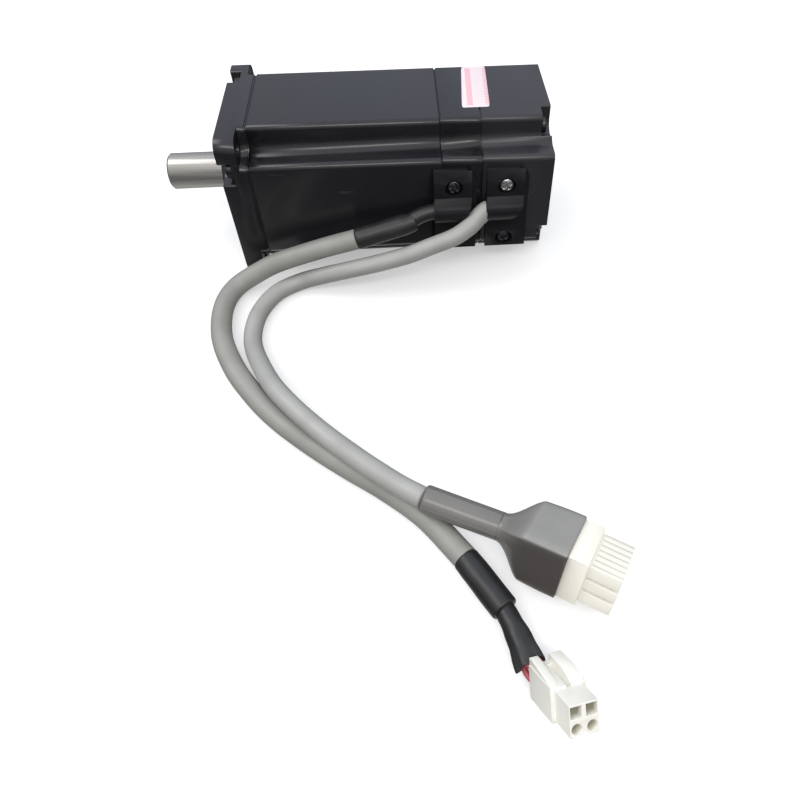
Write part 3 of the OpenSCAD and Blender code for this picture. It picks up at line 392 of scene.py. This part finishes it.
def plug_axes(roll, pitch, yaw):
    """Columns are the plug's own x, y and z directions, turned about X, then Y, then Z."""
    cr, sr, cp, sp, cy, sy = (f(v) for v in (roll, pitch, yaw) for f in (math.cos, math.sin))
    about_x = np.array([[1, 0, 0], [0, cr, -sr], [0, sr, cr]])
    about_y = np.array([[cp, 0, sp], [0, 1, 0], [-sp, 0, cp]])
    about_z = np.array([[cy, -sy, 0], [sy, cy, 0], [0, 0, 1]])
    return about_z @ about_y @ about_x


encoder_axes = plug_axes(plug_roll, 0, plug_yaw)


def superellipse(half, power, a):
    """Distance to the edge at angle a: half / (|cos a|^p + |sin a|^p)^(1/p)."""
    c, s = np.abs(np.cos(a)), np.abs(np.sin(a))
    return half / (c**power + s**power) ** (1 / power)


# %% Boot skin
def make_boot(sides=96):
    """Square block, concave flare, round tail with four low ridges, drawn as one skin."""
    a = np.linspace(0, 2 * np.pi, sides, endpoint=False)
    lip = 0.5 * mm
    stations = np.concatenate([
        collar_back - lip * (1 - np.cos(np.linspace(0, np.pi / 2, 6))),
        np.linspace(collar_back - lip - 0.3 * mm, collar_back - boot_full + 1.2 * mm, 12),
        np.linspace(collar_back - boot_full + 1 * mm, collar_back - boot_full - boot_neck, 44),
    ])
    centre = encoder_plug_at + stations[:, None] * encoder_axes[:, 0]
    sag = np.clip(collar_back - lip - stations, 0, None) / (boot_full + boot_neck)
    centre -= sag[:, None] * np.array([0, 0, boot_sag])
    tail_from = centre[-1]
    tail = even(np.array([tail_from, tail_end]), 0.7 * mm)[1:]
    line = np.concatenate([centre, tail])
    flare = np.clip((collar_back - boot_full - stations) / boot_neck, 0, 1)
    edge = np.clip((collar_back - stations) / lip, 0, 1)
    slope = 1 - flare**1.6 * (2.3 - 1.3 * flare**1.5)
    half = sleeve_d / 2 + (boot_w - sleeve_d) / 2 * slope - lip * (1 - np.sqrt(edge * (2 - edge)))
    behind_lip = np.clip((collar_back - 5 * mm - stations) / (7 * mm), 0, 1)
    power = 2 + 8 * (1 - flare) ** 1.4 * (1 - 0.35 * behind_lip)
    half = np.concatenate([half, np.full(len(tail), sleeve_d / 2)])
    power = np.concatenate([power, np.full(len(tail), 2.0)])
    reach = superellipse(half[:, None], power[:, None], a[None])
    grown = np.concatenate([flare, np.ones(len(tail))])[:, None]
    run = arc_length(line)
    ridge = np.exp(-((((a[None] - 0.6) % (np.pi / 2)) - np.pi / 4) / 0.06) ** 2)
    reach = reach + 0.16 * mm * ridge * grown
    reach = reach - 0.25 * mm * np.clip(1 - (run[-1] - run) / (0.4 * mm), 0, 1)[:, None]
    side, up = across(line)
    turn = a[None] + plug_roll * (1 - grown * 0.5)
    spoke = np.cos(turn)[..., None] * side[:, None] + np.sin(turn)[..., None] * up[:, None]
    boot = skin("encoder_plug_boot", line[:, None] + reach[..., None] * spoke)
    # Painted light share: 1 on the upper face (painted highlight), 0 on the others (painted shade), an even
    # share on the tail.
    upper = np.broadcast_to(np.sin(a)[None] > math.sin(math.pi / 4), reach.shape)
    pale = upper * (1 - grown) + tail_even_share * grown
    painted_light_share = boot.data.attributes.new("painted_light_share", "FLOAT", "POINT")
    painted_light_share.data.foreach_set("value", np.append(pale.ravel(), [0, 0]))
    return boot


boot = make_boot()
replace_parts(boot, "plug_boot")
tell("encoder_plug_boot")

# %% [markdown]
# ## Cross-recess screws
#
# A screw head is a round profile, so it is a grid of rings. The cross is pressed into it: where
# a point lies inside one of the two arms it is pushed down, deepest in the middle, and the
# arms' walls slope a little as a punch leaves them. A Boolean cut would give crisper walls
# and long thin faces; at 6 mm across, the pressed grid is cleaner and shades evenly.

# %% Screws
def band(x, half, soft):
    """1 inside a band of half width, falling to 0 over a soft edge."""
    return 1 - np.clip((np.abs(x) - half) / soft, 0, 1) ** 2


def screw(at, out, head_r, head_h, stem_r, stem_l, turn=0.4, dome=0.25, soft=0.12, sides=96):
    """Rings from the cross's centre over the dome, down the rim, in to the stem and to its end."""
    a = np.linspace(0, 2 * np.pi, sides, endpoint=False)[None]
    edge = soft * head_h
    rise = np.linspace(0, np.pi / 2, 6)
    r = np.concatenate([
        np.linspace(0.02, 1, 44)[:-1] * (head_r - edge), head_r - edge + edge * np.sin(rise),
        [head_r, head_r - edge / 2, stem_r, stem_r, stem_r * 0.8]
    ])[:, None]
    crown = head_h * (1 - dome * np.clip(r / head_r, 0, 1) ** 2)
    z = crown.copy()
    z[43:49] -= edge * (1 - np.cos(rise))[:, None]
    z[49:, 0] = 0.1 * head_h, 0, 0, -stem_l, -stem_l
    u, v = r * np.cos(a + turn), r * np.sin(a + turn)
    arm, reach = 0.13 * head_r, 0.6 * head_r
    cross = np.maximum(band(u, arm, arm) * band(v, reach, arm), band(v, arm, arm) * band(u, reach, arm))
    pit = np.clip(1 - r / (0.75 * head_r), 0, 1) ** 0.5
    z = z - 0.62 * head_h * cross * pit * (np.arange(len(r)) < 43)[:, None]
    out = unit(np.asarray(out, float))
    first = unit(np.cross(out, [0.0, 0.0, 1.0] if abs(out[2]) < 0.9 else [1.0, 0.0, 0.0]))
    second = np.cross(out, first)
    spot = r * np.cos(a), r * np.sin(a)
    rings = spot[0][..., None] * first + spot[1][..., None] * second + z[..., None] * out
    return (rings + np.asarray(at, float)) * mm


def quarter_turns(y, z):
    """A point and the three others a quarter, a half and three quarters of a turn on."""
    return [(y, z), (-z, y), (-y, -z), (z, -y)]


# %% Screws in their places
cover_seat, hood_seat, foot_seat, pocket_seat = 117.8, -32.1, -31.1, 4.5
hood_x, head_z, foot_z = (84.2, 104.0), 9.8, -15.2
hood_stem, foot_stem = 7.5, 3.2
cable_places = [
    (hood_x[0], hood_seat, head_z, hood_stem, 0.5), (hood_x[1], hood_seat, head_z, hood_stem, 0.95),
    (hood_x[0], foot_seat, foot_z, foot_stem, 0.2), (hood_x[1], foot_seat, foot_z, foot_stem, 0.55),
]
cable_screws = skin("cross_screws", *[
    screw((x, y, z), (0, -1, 0), 2.8, 1.75, 1.45, stem, turn, dome=0.5, soft=0.25)
    for x, y, z, stem, turn in cable_places
])
rear_screws = skin("rear_corner_screws", *[
    screw((cover_seat, y, z), (1, 0, 0), 3.0, 2.0, 1.45, 27.5, 0.3 * k)
    for k, (y, z) in enumerate(quarter_turns(-17.2, 24.8))
])
front_screws = skin("front_corner_screws", *[
    screw((pocket_seat, y, z), (-1, 0, 0), 3.3, 3.3, 1.9, 17, 0.7 * k, dome=0.3)
    for k, (y, z) in enumerate(quarter_turns(17.2, 25.8))
])
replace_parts(cable_screws, "cable_cover_screws")
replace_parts(rear_screws, "encoder_cover_screws")
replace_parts(front_screws, "bracket_screws")
tell("cross_screws", "rear_corner_screws", "front_corner_screws")

# %% [markdown]
# ## Label
#
# The sticker sits a little askew on the top face. Its outline is a rounded rectangle carried
# through its four corners, and its thin edge is only a tenth of a millimetre high. A plane
# pushed up by a modifier would do, but four corners put it where it is stuck in one step.

# %% Label
label_corners = np.array([(90.9, 18.0), (100.3, 18.1), (99.1, -12.2), (88.7, -12.2)])


def label_rings(z_top, z_low):
    """Rounded rectangle in u, v from 0 to 1, placed between four corners by weights."""
    a = np.linspace(0, 2 * np.pi, 96, endpoint=False)
    u = 0.5 + 0.5 * superellipse(1.0, 14.0, a) * np.cos(a)
    v = 0.5 + 0.5 * superellipse(1.0, 30.0, a) * np.sin(a)
    share = np.stack([(1 - u) * v, u * v, u * (1 - v), (1 - u) * (1 - v)], 1)
    flat = share @ label_corners
    centre = label_corners.mean(0)
    rings = []
    for draw, z in ((0.5, z_low), (1, z_low), (1, z_top - 0.02), (0.995, z_top), (0.5, z_top)):
        rings.append(np.column_stack([centre + (flat - centre) * draw, np.full(len(a), z)]))
    return np.array(rings) * mm


label = skin("blank_sticker", label_rings(30.1, 30.0))
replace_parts(label, "data_label")
tell("blank_sticker")

# %% [markdown]
# ## Wires into the power plug
#
# Four insulated wires leave the black tube and spread into the plug's cells. Each is the
# same smooth route as a cable, moved aside by its cell's place, so no wire needs its own list.

# %% Wires
power_plug_at = np.array([95.7, -196.3, -25.9]) * mm
power_axes = plug_axes(*(math.radians(v) for v in (-14.4, -42.9, -68.4)))
cell_pitch = 4.14 * mm
wire_r = 0.85 * mm


def wire_rings(y, z):
    """A wire from inside the tube to one cell, spreading in a smooth S."""
    aside = power_axes @ np.array([0, y, z])
    route = np.array([
        tube_middle + aside * 0.5, tube_mouth + aside * 0.75,
        power_plug_at + aside, power_plug_at + aside + power_axes[:, 0] * 2 * mm
    ])
    return tube(smooth(route, 0.5 * mm), wire_r, 20)


corners = [(sy * cell_pitch / 2, sz * cell_pitch / 2) for sy in (-1, 1) for sz in (-1, 1)]
wires = skin("plug_wires", *[wire_rings(y, z) for y, z in corners])
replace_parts(wires, "power_wires")
tell("plug_wires")

# %% [markdown]
# ## Edge radii on the cast and moulded parts
#
# No real edge is sharp: paint and moulding leave a small radius that catches the light.
# A copy of each machined or moulded piece is merged, its flat faces are joined, and a
# narrow bevel rounds every edge over a set angle. A bevel in the shader alone would cost
# nothing, but it leaves the outline sharp.

# %% Rounded copies
finish_angle = math.radians(28)


def rounded_copy(node, width, name, body="housing", segments=2, angle=finish_angle):
    """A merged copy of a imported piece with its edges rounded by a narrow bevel."""
    mesh = frame["nodes"][node].data.copy()
    mesh.name = name
    work = bmesh.new()
    work.from_mesh(mesh)
    bmesh.ops.remove_doubles(work, verts=work.verts, dist=0.002 * mm)
    bmesh.ops.dissolve_limit(work, angle_limit=math.radians(0.8), verts=work.verts, edges=work.edges)
    work.to_mesh(mesh)
    work.free()
    mesh.materials.clear()
    piece = bpy.data.objects.new(name, mesh)
    bpy.context.scene.collection.objects.link(piece)
    bevel = piece.modifiers.new("edge", "BEVEL")
    bevel.width = width
    bevel.segments = segments
    bevel.limit_method = "ANGLE"
    bevel.angle_limit = angle
    bevel.harden_normals = True
    mesh.shade_smooth()
    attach(piece, body)
    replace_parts(piece, node)
    pieces[name] = piece
    return piece


rounded_copy("front_bracket", 0.3 * mm, "flange_casting")
rounded_copy("stator_housing", 0.2 * mm, "housing_casting")
rounded_copy("rear_bracket", 0.15 * mm, "ring_casting")
rounded_copy("encoder_cover", 0.3 * mm, "encoder_casting")
rounded_copy("power_cable_cover", 0.35 * mm, "power_hood")
rounded_copy("encoder_cable_cover", 0.35 * mm, "encoder_hood")
rounded_copy("power_plug", 0.35 * mm, "power_plug_shell", segments=3)
rounded_copy("encoder_plug", 0.2 * mm, "encoder_plug_shell")
rounded_copy("motor_shaft", 0.12 * mm, "turned_shaft", body="rotor")
tell("flange_casting", "housing_casting", "ring_casting", "encoder_casting", "turned_shaft")

# %% [markdown]
# ## Shader maths
#
# Materials are written as sums. `Sock` wraps one socket of a node tree, and each Python
# operator adds the Math node of the same name. The node editor gives the same trees, but a
# sum is shorter to read and to change.


# %% Socket class
class Sock:
    """One output socket; an operator on it adds a Math node and gives the result's socket."""

    def __init__(self, tree, socket):
        self.tree, self.socket = tree, socket

    def math(self, operation, *others, clamp=False):
        node = self.tree.nodes.new("ShaderNodeMath")
        node.operation = operation
        node.use_clamp = clamp
        for slot, value in zip(node.inputs, (self, *others)):
            if isinstance(value, Sock):
                self.tree.links.new(value.socket, slot)
            else:
                slot.default_value = value
        return Sock(self.tree, node.outputs[0])

    def __add__(self, other):
        return self.math("ADD", other)

    def __sub__(self, other):
        return self.math("SUBTRACT", other)

    def __rsub__(self, other):
        return (self * -1) + other

    def __mul__(self, other):
        return self.math("MULTIPLY", other)

    def __pow__(self, other):
        return self.math("POWER", other)

    def over(self, low, high):
        """0 below low, 1 above high, smooth between."""
        return ((self - low) * (1 / (high - low))).math("SMOOTH_MIN", 1.0, 0.1, clamp=True)

    __radd__, __rmul__ = __add__, __mul__


class Finish:
    """The node tree of a new material or a world: its shader and a way to add any node."""

    def __init__(self, name, holder=None, **values):
        self.material = holder or bpy.data.materials.new(name)
        self.material.use_nodes = True
        self.tree = self.material.node_tree
        self.shader = self.tree.nodes["Background" if holder else "Principled BSDF"]
        for key, value in values.items():
            self.shader.inputs[key.replace("_", " ")].default_value = value

    def node(self, kind, settings=(), output=0, at=(), **sockets):
        """Adds a node of a type, sets it, and fills its sockets, by name or at a place."""
        node = self.tree.nodes.new("ShaderNode" + kind)
        for key, value in dict(settings).items():
            setattr(node, key, value)
        named = {key.replace("_", " "): value for key, value in sockets.items()}
        for key, value in {**named, **dict(at)}.items():
            slot = node.inputs[key]
            if isinstance(value, Sock):
                self.tree.links.new(value.socket, slot)
            else:
                slot.default_value = value
        return Sock(self.tree, node.outputs[output])

    def place(self, stretch=(1, 1, 1)):
        """Object coordinates, stretched along the axes."""
        where = self.node("TexCoord", output=3)
        return self.node("Mapping", Vector=where, Scale=stretch)

    def noise(self, scale, detail=3.0, stretch=(1, 1, 1), roughness=0.5):
        """Smooth random shade, about 0.5 in the middle; a higher scale makes it finer."""
        where = self.place(stretch)
        return self.node("TexNoise", Vector=where, Scale=scale, Detail=detail, Roughness=roughness)

    def mix(self, share, one, two):
        """Colour one where share is 0, colour two where it is 1."""
        one, two = (c if isinstance(c, Sock) else (*c, 1.0) for c in (one, two))
        return self.node("Mix", {"data_type": "RGBA"}, 2, at={0: share, 6: one, 7: two})

    def dot(self, vector, direction):
        """How far a vector reaches along a direction."""
        return self.node("VectorMath", {"operation": "DOT_PRODUCT"}, 1, at={0: vector, 1: tuple(direction)})

    def to(self, name, sock):
        """Links a result to one of the shader's sockets."""
        self.tree.links.new(sock.socket, self.shader.inputs[name])

    def bump(self, height, strength, distance):
        """Tilts the shading by a height map."""
        self.to("Normal", self.node("Bump", Height=height, Strength=strength, Distance=distance))


def srgb(*levels):
    """A colour read as 0 to 255 turned into the linear values that shaders use."""
    c = np.array(levels) / 255
    return tuple(np.where(c <= 0.04045, c / 12.92, ((c + 0.055) / 1.055) ** 2.4).tolist())


# %% [markdown]
# ## Finishes
#
# The shell is satin black paint with a few specks of dust and short, faint hair scratches.
# The encoder cover is a duller black. Scanned paint could be laid on as a picture, but noise
# in Object coordinates has no seams and runs on over every edge. A noise cut off near its
# top gives sparse specks, and the same noise drawn out along the shaft gives scratches.

# %% Painted shell
def paint(name, base, worn, rough, orange=0.12, shine=0.5):
    """Satin paint: fine orange peel, sparse bright specks, short scratches along the shaft."""
    f = Finish(name, Specular_IOR_Level=shine)
    cloud = f.noise(60, 4)
    speck = f.noise(1800, 2, roughness=0.6).over(0.70, 0.78)
    hair = f.noise(520, 2, stretch=(0.16, 1, 1)).over(0.71, 0.75)
    marks = (speck * 0.55 + hair * 0.06) * f.noise(35, 2).over(0.45, 0.7)
    shade = f.mix(cloud.over(0.3, 0.75), base, tuple(c * 1.35 for c in base))
    f.to("Base Color", f.mix(marks, shade, worn))
    f.to("Roughness", cloud * 0.12 + (rough - 0.06) + marks * 0.25)
    f.bump(f.noise(900, 2) * 0.6 + cloud * 0.4, orange, 0.05 * mm)
    return f.material


shell_paint = paint("satin_black_paint", srgb(23, 22, 26), srgb(150, 150, 154), 0.23)
cover_paint = paint("matt_black_paint", srgb(36, 35, 39), srgb(140, 140, 142), 0.34)
hood_paint = paint("hood_black", srgb(22, 21, 24), srgb(120, 120, 122), 0.46, shine=0.2)


print("paints:", shell_paint.name, cover_paint.name, hood_paint.name)

# %% [markdown]
# ## Vinyl, rubber and nylon
#
# Cables and boots are soft vinyl that picks up dirt in smears, and the plugs are moulded
# white nylon. Subsurface light would suit the nylon, but pale colour with a low sheen looks
# the same on walls this thick, and it survives the export. The label carries plain bands.

# %% Vinyl, sleeves and rubber
def vinyl(name, base, dirty, rough, grain=700):
    """Extruded vinyl: faint smears of dirt, fine grain and a soft shine."""
    f = Finish(name)
    smear = f.noise(90, 4).over(0.35, 0.8)
    dot = f.noise(1500, 1).over(0.72, 0.78)
    f.to("Base Color", f.mix(smear * 0.6 + dot * 0.4, base, dirty))
    f.to("Roughness", smear * 0.15 + rough)
    f.bump(f.noise(grain, 3), 0.15, 0.04 * mm)
    return f.material


groove_pitch = 2.07


def grooved(name, at, axes, width):
    """White nylon with fine grooves in the plug's upper face: a sine wave over the width, with painted shade
    in the groove bottoms.
    """
    f = Finish(name, Roughness=0.34, Base_Color=(*srgb(236, 233, 220), 1.0))
    inward = f.node("VectorMath", {"operation": "SUBTRACT"}, at={0: f.place(), 1: tuple(at)})
    part = [f.dot(inward, axes[:, k] / mm) for k in range(3)]
    front = part[0].over(0.2, 0.5) * part[2].over(width / 2 - 0.5, width / 2 - 0.3)
    wave = (part[1] * (2 * math.pi / groove_pitch)).math("SINE").over(-0.2, 0.9)
    f.bump(front * wave * -1.0, 0.5, 0.25 * mm)
    # Painted shade: the base colour darkens in the bottom of each groove.
    f.to("Base Color", f.mix(front * wave * 0.35, srgb(240, 237, 225), srgb(198, 194, 180)))
    return f.material


def boot_finish():
    """Soft vinyl: a painted highlight on the upper face, pale gray with dirt smears, and painted shade, dark
    brown-gray, on the others.
    """
    f = Finish("boot_vinyl", Roughness=0.26)
    upper = f.node("Attribute", {"attribute_name": "painted_light_share"}, output=2)
    smear = f.noise(90, 4).over(0.35, 0.8)
    pale = f.mix(smear * 0.6, srgb(141, 140, 137), srgb(125, 124, 121))
    # Painted shade on the faces away from the top, painted highlight on the upper face.
    f.to("Base Color", f.mix(upper, srgb(74, 70, 68), pale))
    f.bump(f.noise(700, 3), 0.12, 0.04 * mm)
    return f.material


# %% Ruled label
panel_from, panel_to, rules_from, edge_from = 91.3, 93.5, 94.3, 98.15
print_from, print_to = -10.85, 16.55
rule_pitch = 1.9
askew_share = 0.045
soft_edge = 0.1


def from_edge(place, edge):
    """0 before an edge and 1 after it, softened by a tenth of a millimetre."""
    return place.over(edge - soft_edge, edge + soft_edge)


def ruled_label():
    """White film with a pink panel, a pink edge and fine pink rules, placed in mm."""
    f = Finish("label_film", Roughness=0.4)
    x, y = (f.node("SeparateXYZ", output=k, Vector=f.place()) * (1 / mm) for k in (0, 1))
    sideways = x - y * askew_share
    panel = from_edge(sideways, panel_from) * (1 - from_edge(sideways, panel_to))
    panel = panel + from_edge(sideways, edge_from) * 0.6
    rules = (y * (2 * math.pi / rule_pitch)).math("SINE").over(0.75, 0.95)
    rules = rules * from_edge(sideways, rules_from) * 0.5
    inside = from_edge(y, print_from) * (1 - from_edge(y, print_to))
    smear = f.noise(90, 4).over(0.35, 0.8)
    film = f.mix(smear * 0.6, srgb(226, 214, 217), srgb(208, 200, 203))
    f.to("Base Color", f.mix((panel + rules).math("MINIMUM", 1.0) * inside, film, srgb(226, 176, 186)))
    f.bump(f.noise(700, 3), 0.1, 0.04 * mm)
    return f.material


# %% Vinyls and nylons in use
plug_grooved = grooved("grooved_nylon", encoder_plug_at, encoder_axes, 14.0)
cable_vinyl = vinyl("gray_vinyl", srgb(162, 162, 159), srgb(142, 142, 138), 0.38)
power_vinyl = vinyl("warm_gray_vinyl", srgb(147, 147, 142), srgb(127, 127, 121), 0.4)
boot_vinyl = boot_finish()
sleeve_black = vinyl("shrink_sleeve", srgb(28, 28, 29), srgb(44, 44, 45), 0.36, 500)
seal_rubber = vinyl("seal_rubber", srgb(30, 29, 28), srgb(44, 42, 40), 0.6)
nylon = vinyl("white_nylon", srgb(242, 241, 233), srgb(231, 228, 214), 0.34)
label_film = ruled_label()
wire_vinyl = vinyl("red_wire", srgb(196, 96, 108), srgb(160, 70, 80), 0.4)
print("vinyls and nylons:", cable_vinyl.name, power_vinyl.name, boot_vinyl.name, nylon.name)

# %% [markdown]
# ## Metals
#
# Bare metal shows how it was worked: the shaft is ground, with fine lines along it, and
# the screws are blackened and rubbed. An anisotropic shader draws such lines by itself, but
# the export drops it, so a noise drawn out along one axis drives colour, gloss and bump.
# The shaft is set part way to metal, since a white room round it would light it evenly.


# %% Metals
def metal(name, base, rough, stretch=(1, 1, 1), scale=900, spread=0.12, bump=0.08, metallic=1.0):
    """Bare metal: fine lines of a tool, drawn out along one axis."""
    f = Finish(name, Metallic=metallic)
    line = f.noise(scale, 3, stretch=stretch)
    f.to("Base Color", f.mix(line, tuple(c * 0.85 for c in base), base))
    f.to("Roughness", line * spread + (rough - spread / 2))
    f.bump(line, bump, 0.02 * mm)
    return f.material


# %% Metals in use
ground_steel = metal(
    "ground_steel", srgb(170, 167, 163), 0.26, stretch=(0.05, 1, 1), scale=520,
    spread=0.2, bump=0.45, metallic=0.7,
)
dark_screw = metal("black_screw", srgb(70, 70, 74), 0.38)
bright_screw = metal("bright_screw", srgb(190, 190, 192), 0.3)
polished = metal("bearing_steel", srgb(205, 207, 210), 0.14, spread=0.05)
spring_steel = metal("spring_steel", srgb(176, 176, 180), 0.34)
core_steel = metal(
    "laminated_steel", srgb(140, 142, 146), 0.45, stretch=(12, 0.3, 0.3), scale=400, bump=0.3
)
magnet_steel = metal("magnet", srgb(120, 122, 126), 0.4)
cage_brass = metal("cage_brass", srgb(204, 170, 104), 0.34)
copper = metal("coil_copper", srgb(196, 112, 62), 0.36, stretch=(0.4, 6, 6), scale=500, bump=0.3)


between_hoods = sum(hood_x) / 2 * mm


def worn_screw():
    """Black oxide, worn to bright steel where a driver rubbed the second hood's screw."""
    f = Finish("hood_screw", Metallic=1.0, Roughness=0.3)
    where = f.place()
    x, z = (f.node("SeparateXYZ", output=k, Vector=where) for k in (0, 2))
    head = x.over(between_hoods, between_hoods + 2 * mm) * z.over(0, 2 * mm)
    rubbed = head * f.noise(700, 2).over(0.3, 0.5)
    chip = f.noise(1600, 2).over(0.62, 0.68)
    f.to("Base Color", f.mix(rubbed + chip * 0.5, srgb(70, 70, 74), srgb(186, 186, 188)))
    return f.material


hood_screw = worn_screw()
tinned = metal("tinned_contact", srgb(196, 190, 168), 0.32)
insulator = vinyl("insulator", srgb(232, 228, 214), srgb(214, 208, 190), 0.45)
board_green = vinyl("board_lacquer", srgb(24, 110, 62), srgb(16, 84, 46), 0.25)
sensor_black = vinyl("sensor_black", srgb(26, 26, 27), srgb(40, 40, 41), 0.4)

# %% [markdown]
# ## Who wears what
#
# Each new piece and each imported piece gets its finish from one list. Materials could be set
# where each piece is made, but one list shows at a glance what shares a finish. The first
# list goes by piece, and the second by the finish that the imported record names.

# %% Assign finishes
wear = {
    "flange_casting": shell_paint, "housing_casting": shell_paint, "ring_casting": shell_paint,
    "encoder_casting": cover_paint, "power_hood": hood_paint, "encoder_hood": hood_paint,
    "power_plug_shell": nylon, "encoder_plug_shell": plug_grooved, "turned_shaft": ground_steel,
    "cross_screws": hood_screw, "rear_corner_screws": dark_screw, "front_corner_screws": dark_screw,
    "blank_sticker": label_film, "plug_wires": wire_vinyl,
    "power_cable_jacket": power_vinyl, "encoder_cable_jacket": cable_vinyl,
    "power_lead_sleeve": sleeve_black, "power_exit_sleeve": sleeve_black,
    "power_end_sleeve": sleeve_black, "power_end_bell": sleeve_black,
    "encoder_plug_boot": boot_vinyl,
}
wear_cad = {
    "black_paint": shell_paint, "encoder_paint": cover_paint, "cover_black": hood_paint,
    "shaft_steel": ground_steel, "dark_screw": dark_screw, "bright_screw": bright_screw,
    "bearing_steel": polished, "spring_steel": spring_steel, "cage_brass": cage_brass,
    "core_steel": core_steel, "magnet": magnet_steel, "coil_copper": copper,
    "insulator": insulator, "seal_rubber": seal_rubber, "board_green": board_green,
    "disc_glass": polished, "sensor_black": sensor_black, "lead_insulation": wire_vinyl,
    "label": label_film, "cable_gray": cable_vinyl, "shrink_black": sleeve_black,
    "boot_gray": boot_vinyl, "plug_nylon": nylon, "contact_metal": tinned,
}
slot_of = {part["node"]: part["material_slot"] for part in frame["record"]["subparts"]}


def dress(thing, material):
    """Gives an object one material."""
    thing.data.materials.clear()
    thing.data.materials.append(material)


for name, material in wear.items():
    dress(pieces[name], material)
for name, thing in frame["nodes"].items():
    if not thing.hide_render:
        dress(thing, wear_cad[slot_of[name]])
print("finishes in use:", len({material.name for material in (*wear.values(), *wear_cad.values())}))

# %% [markdown]
# ## Cords
#
# Each free cord is listed with its route as it was walked, its diameter, and the sleeves
# and plugs on it. The route is kept because a tube's own mesh no longer says where its
# middle is.

cords = (
    (power_cable, power_line, power_d, [
        lead_tube, exit_shrink, end_shrink, end_tube,
        pieces["power_plug_shell"], "power_contacts", "power_wires",
    ]),
    (encoder_cable, encoder_line, encoder_d, [boot, pieces["encoder_plug_shell"], "encoder_contacts"]),
)
for piece, line, diameter, mates in cords:
    print(piece.name, "carries", len(mates), "more pieces")

# %% [markdown]
# ## Floor and light
#
# The photograph has a plain white ground and broad soft light from above and behind, which
# the black paint mirrors on its top face and not on its side. A studio picture wrapped round
# the scene would light it too, but a sky that is worked out from height alone keeps the
# dark and bright bands where the paint needs them. Two softboxes add the edge highlights.

# %% Stage
def add_floor():
    """A pale floor far larger than the picture."""
    reach = 3.0
    z = cad_box[0][2]
    mesh = bpy.data.meshes.new("floor")
    rim = [(-reach, -reach, z), (reach, -reach, z), (reach, reach, z), (-reach, reach, z)]
    mesh.from_pydata(rim, [], [(0, 1, 2, 3)])
    floor = bpy.data.objects.new("floor", mesh)
    bpy.context.scene.collection.objects.link(floor)
    pale = Finish("pale_floor", Roughness=0.7, Specular_IOR_Level=0.1, Emission_Strength=0.42)
    pale.to("Base Color", pale.mix(pale.noise(3, 2), (0.6, 0.6, 0.6), (0.62, 0.62, 0.62)))
    pale.shader.inputs["Emission Color"].default_value = (1.0, 1.0, 1.0, 1.0)
    dress(floor, pale.material)
    floor.visible_glossy = floor.visible_diffuse = False


def add_softbox(name, at, aim, size, watts, wide=1.0):
    """A rectangular area light that faces a point, its long side level."""
    light = bpy.data.lights.new(name, "AREA")
    light.shape = "RECTANGLE"
    light.size, light.size_y = size * wide, size
    light.energy = watts
    lamp = bpy.data.objects.new(name, light)
    bpy.context.scene.collection.objects.link(lamp)
    back = unit(np.array(at) - np.array(aim))
    right = unit(np.cross([0.0, 0.0, 1.0], back))
    matrix = np.eye(4)
    matrix[:3, :3] = np.column_stack([right, np.cross(back, right), back])
    matrix[:3, 3] = at
    lamp.matrix_world = Matrix(matrix.tolist())


add_floor()
middle = (0.06, -0.05, 0.0)
motor_middle = (0.05, 0.0, 0.0)
add_softbox("left_softbox", (-0.8, 0.1, 1.0), middle, 0.7, 5)
add_softbox("front_softbox", (0.05, -0.78, 1.02), motor_middle, 0.26, 6.0, wide=5)
print("softboxes:", len(bpy.data.lights))


# %% Sky
def add_sky(low=0.12, horizon=0.22, high=1.22, under=0.7):
    """Dim below the horizon but for the ground straight beneath, then brighter up to the zenith."""
    world = bpy.data.worlds.new("studio")
    sky = Finish("studio", world)
    way = sky.node("TexCoord")
    height = sky.node("SeparateXYZ", Vector=way, output=2)
    behind = sky.dot(way, (0.0, 0.83, 0.56))
    level = height.over(-0.1, 0.1) * horizon + height.over(0, 0.95) * (high - horizon - low) + low
    level = level + (height * -1).over(0.6, 0.95) * under
    sky.to("Color", sky.mix(behind.over(0.4, 1.0), (1.0, 1.0, 1.0), (0.88, 0.95, 1.1)))
    sky.to("Strength", level)
    bpy.context.scene.world = world


add_sky()
bpy.context.scene.view_settings.view_transform = "Standard"
print("world:", bpy.context.scene.world.name)

# %% [markdown]
# ## Finish
#
# The number of new pieces is printed.

# %% Finish
print("pieces made:", len(pieces))
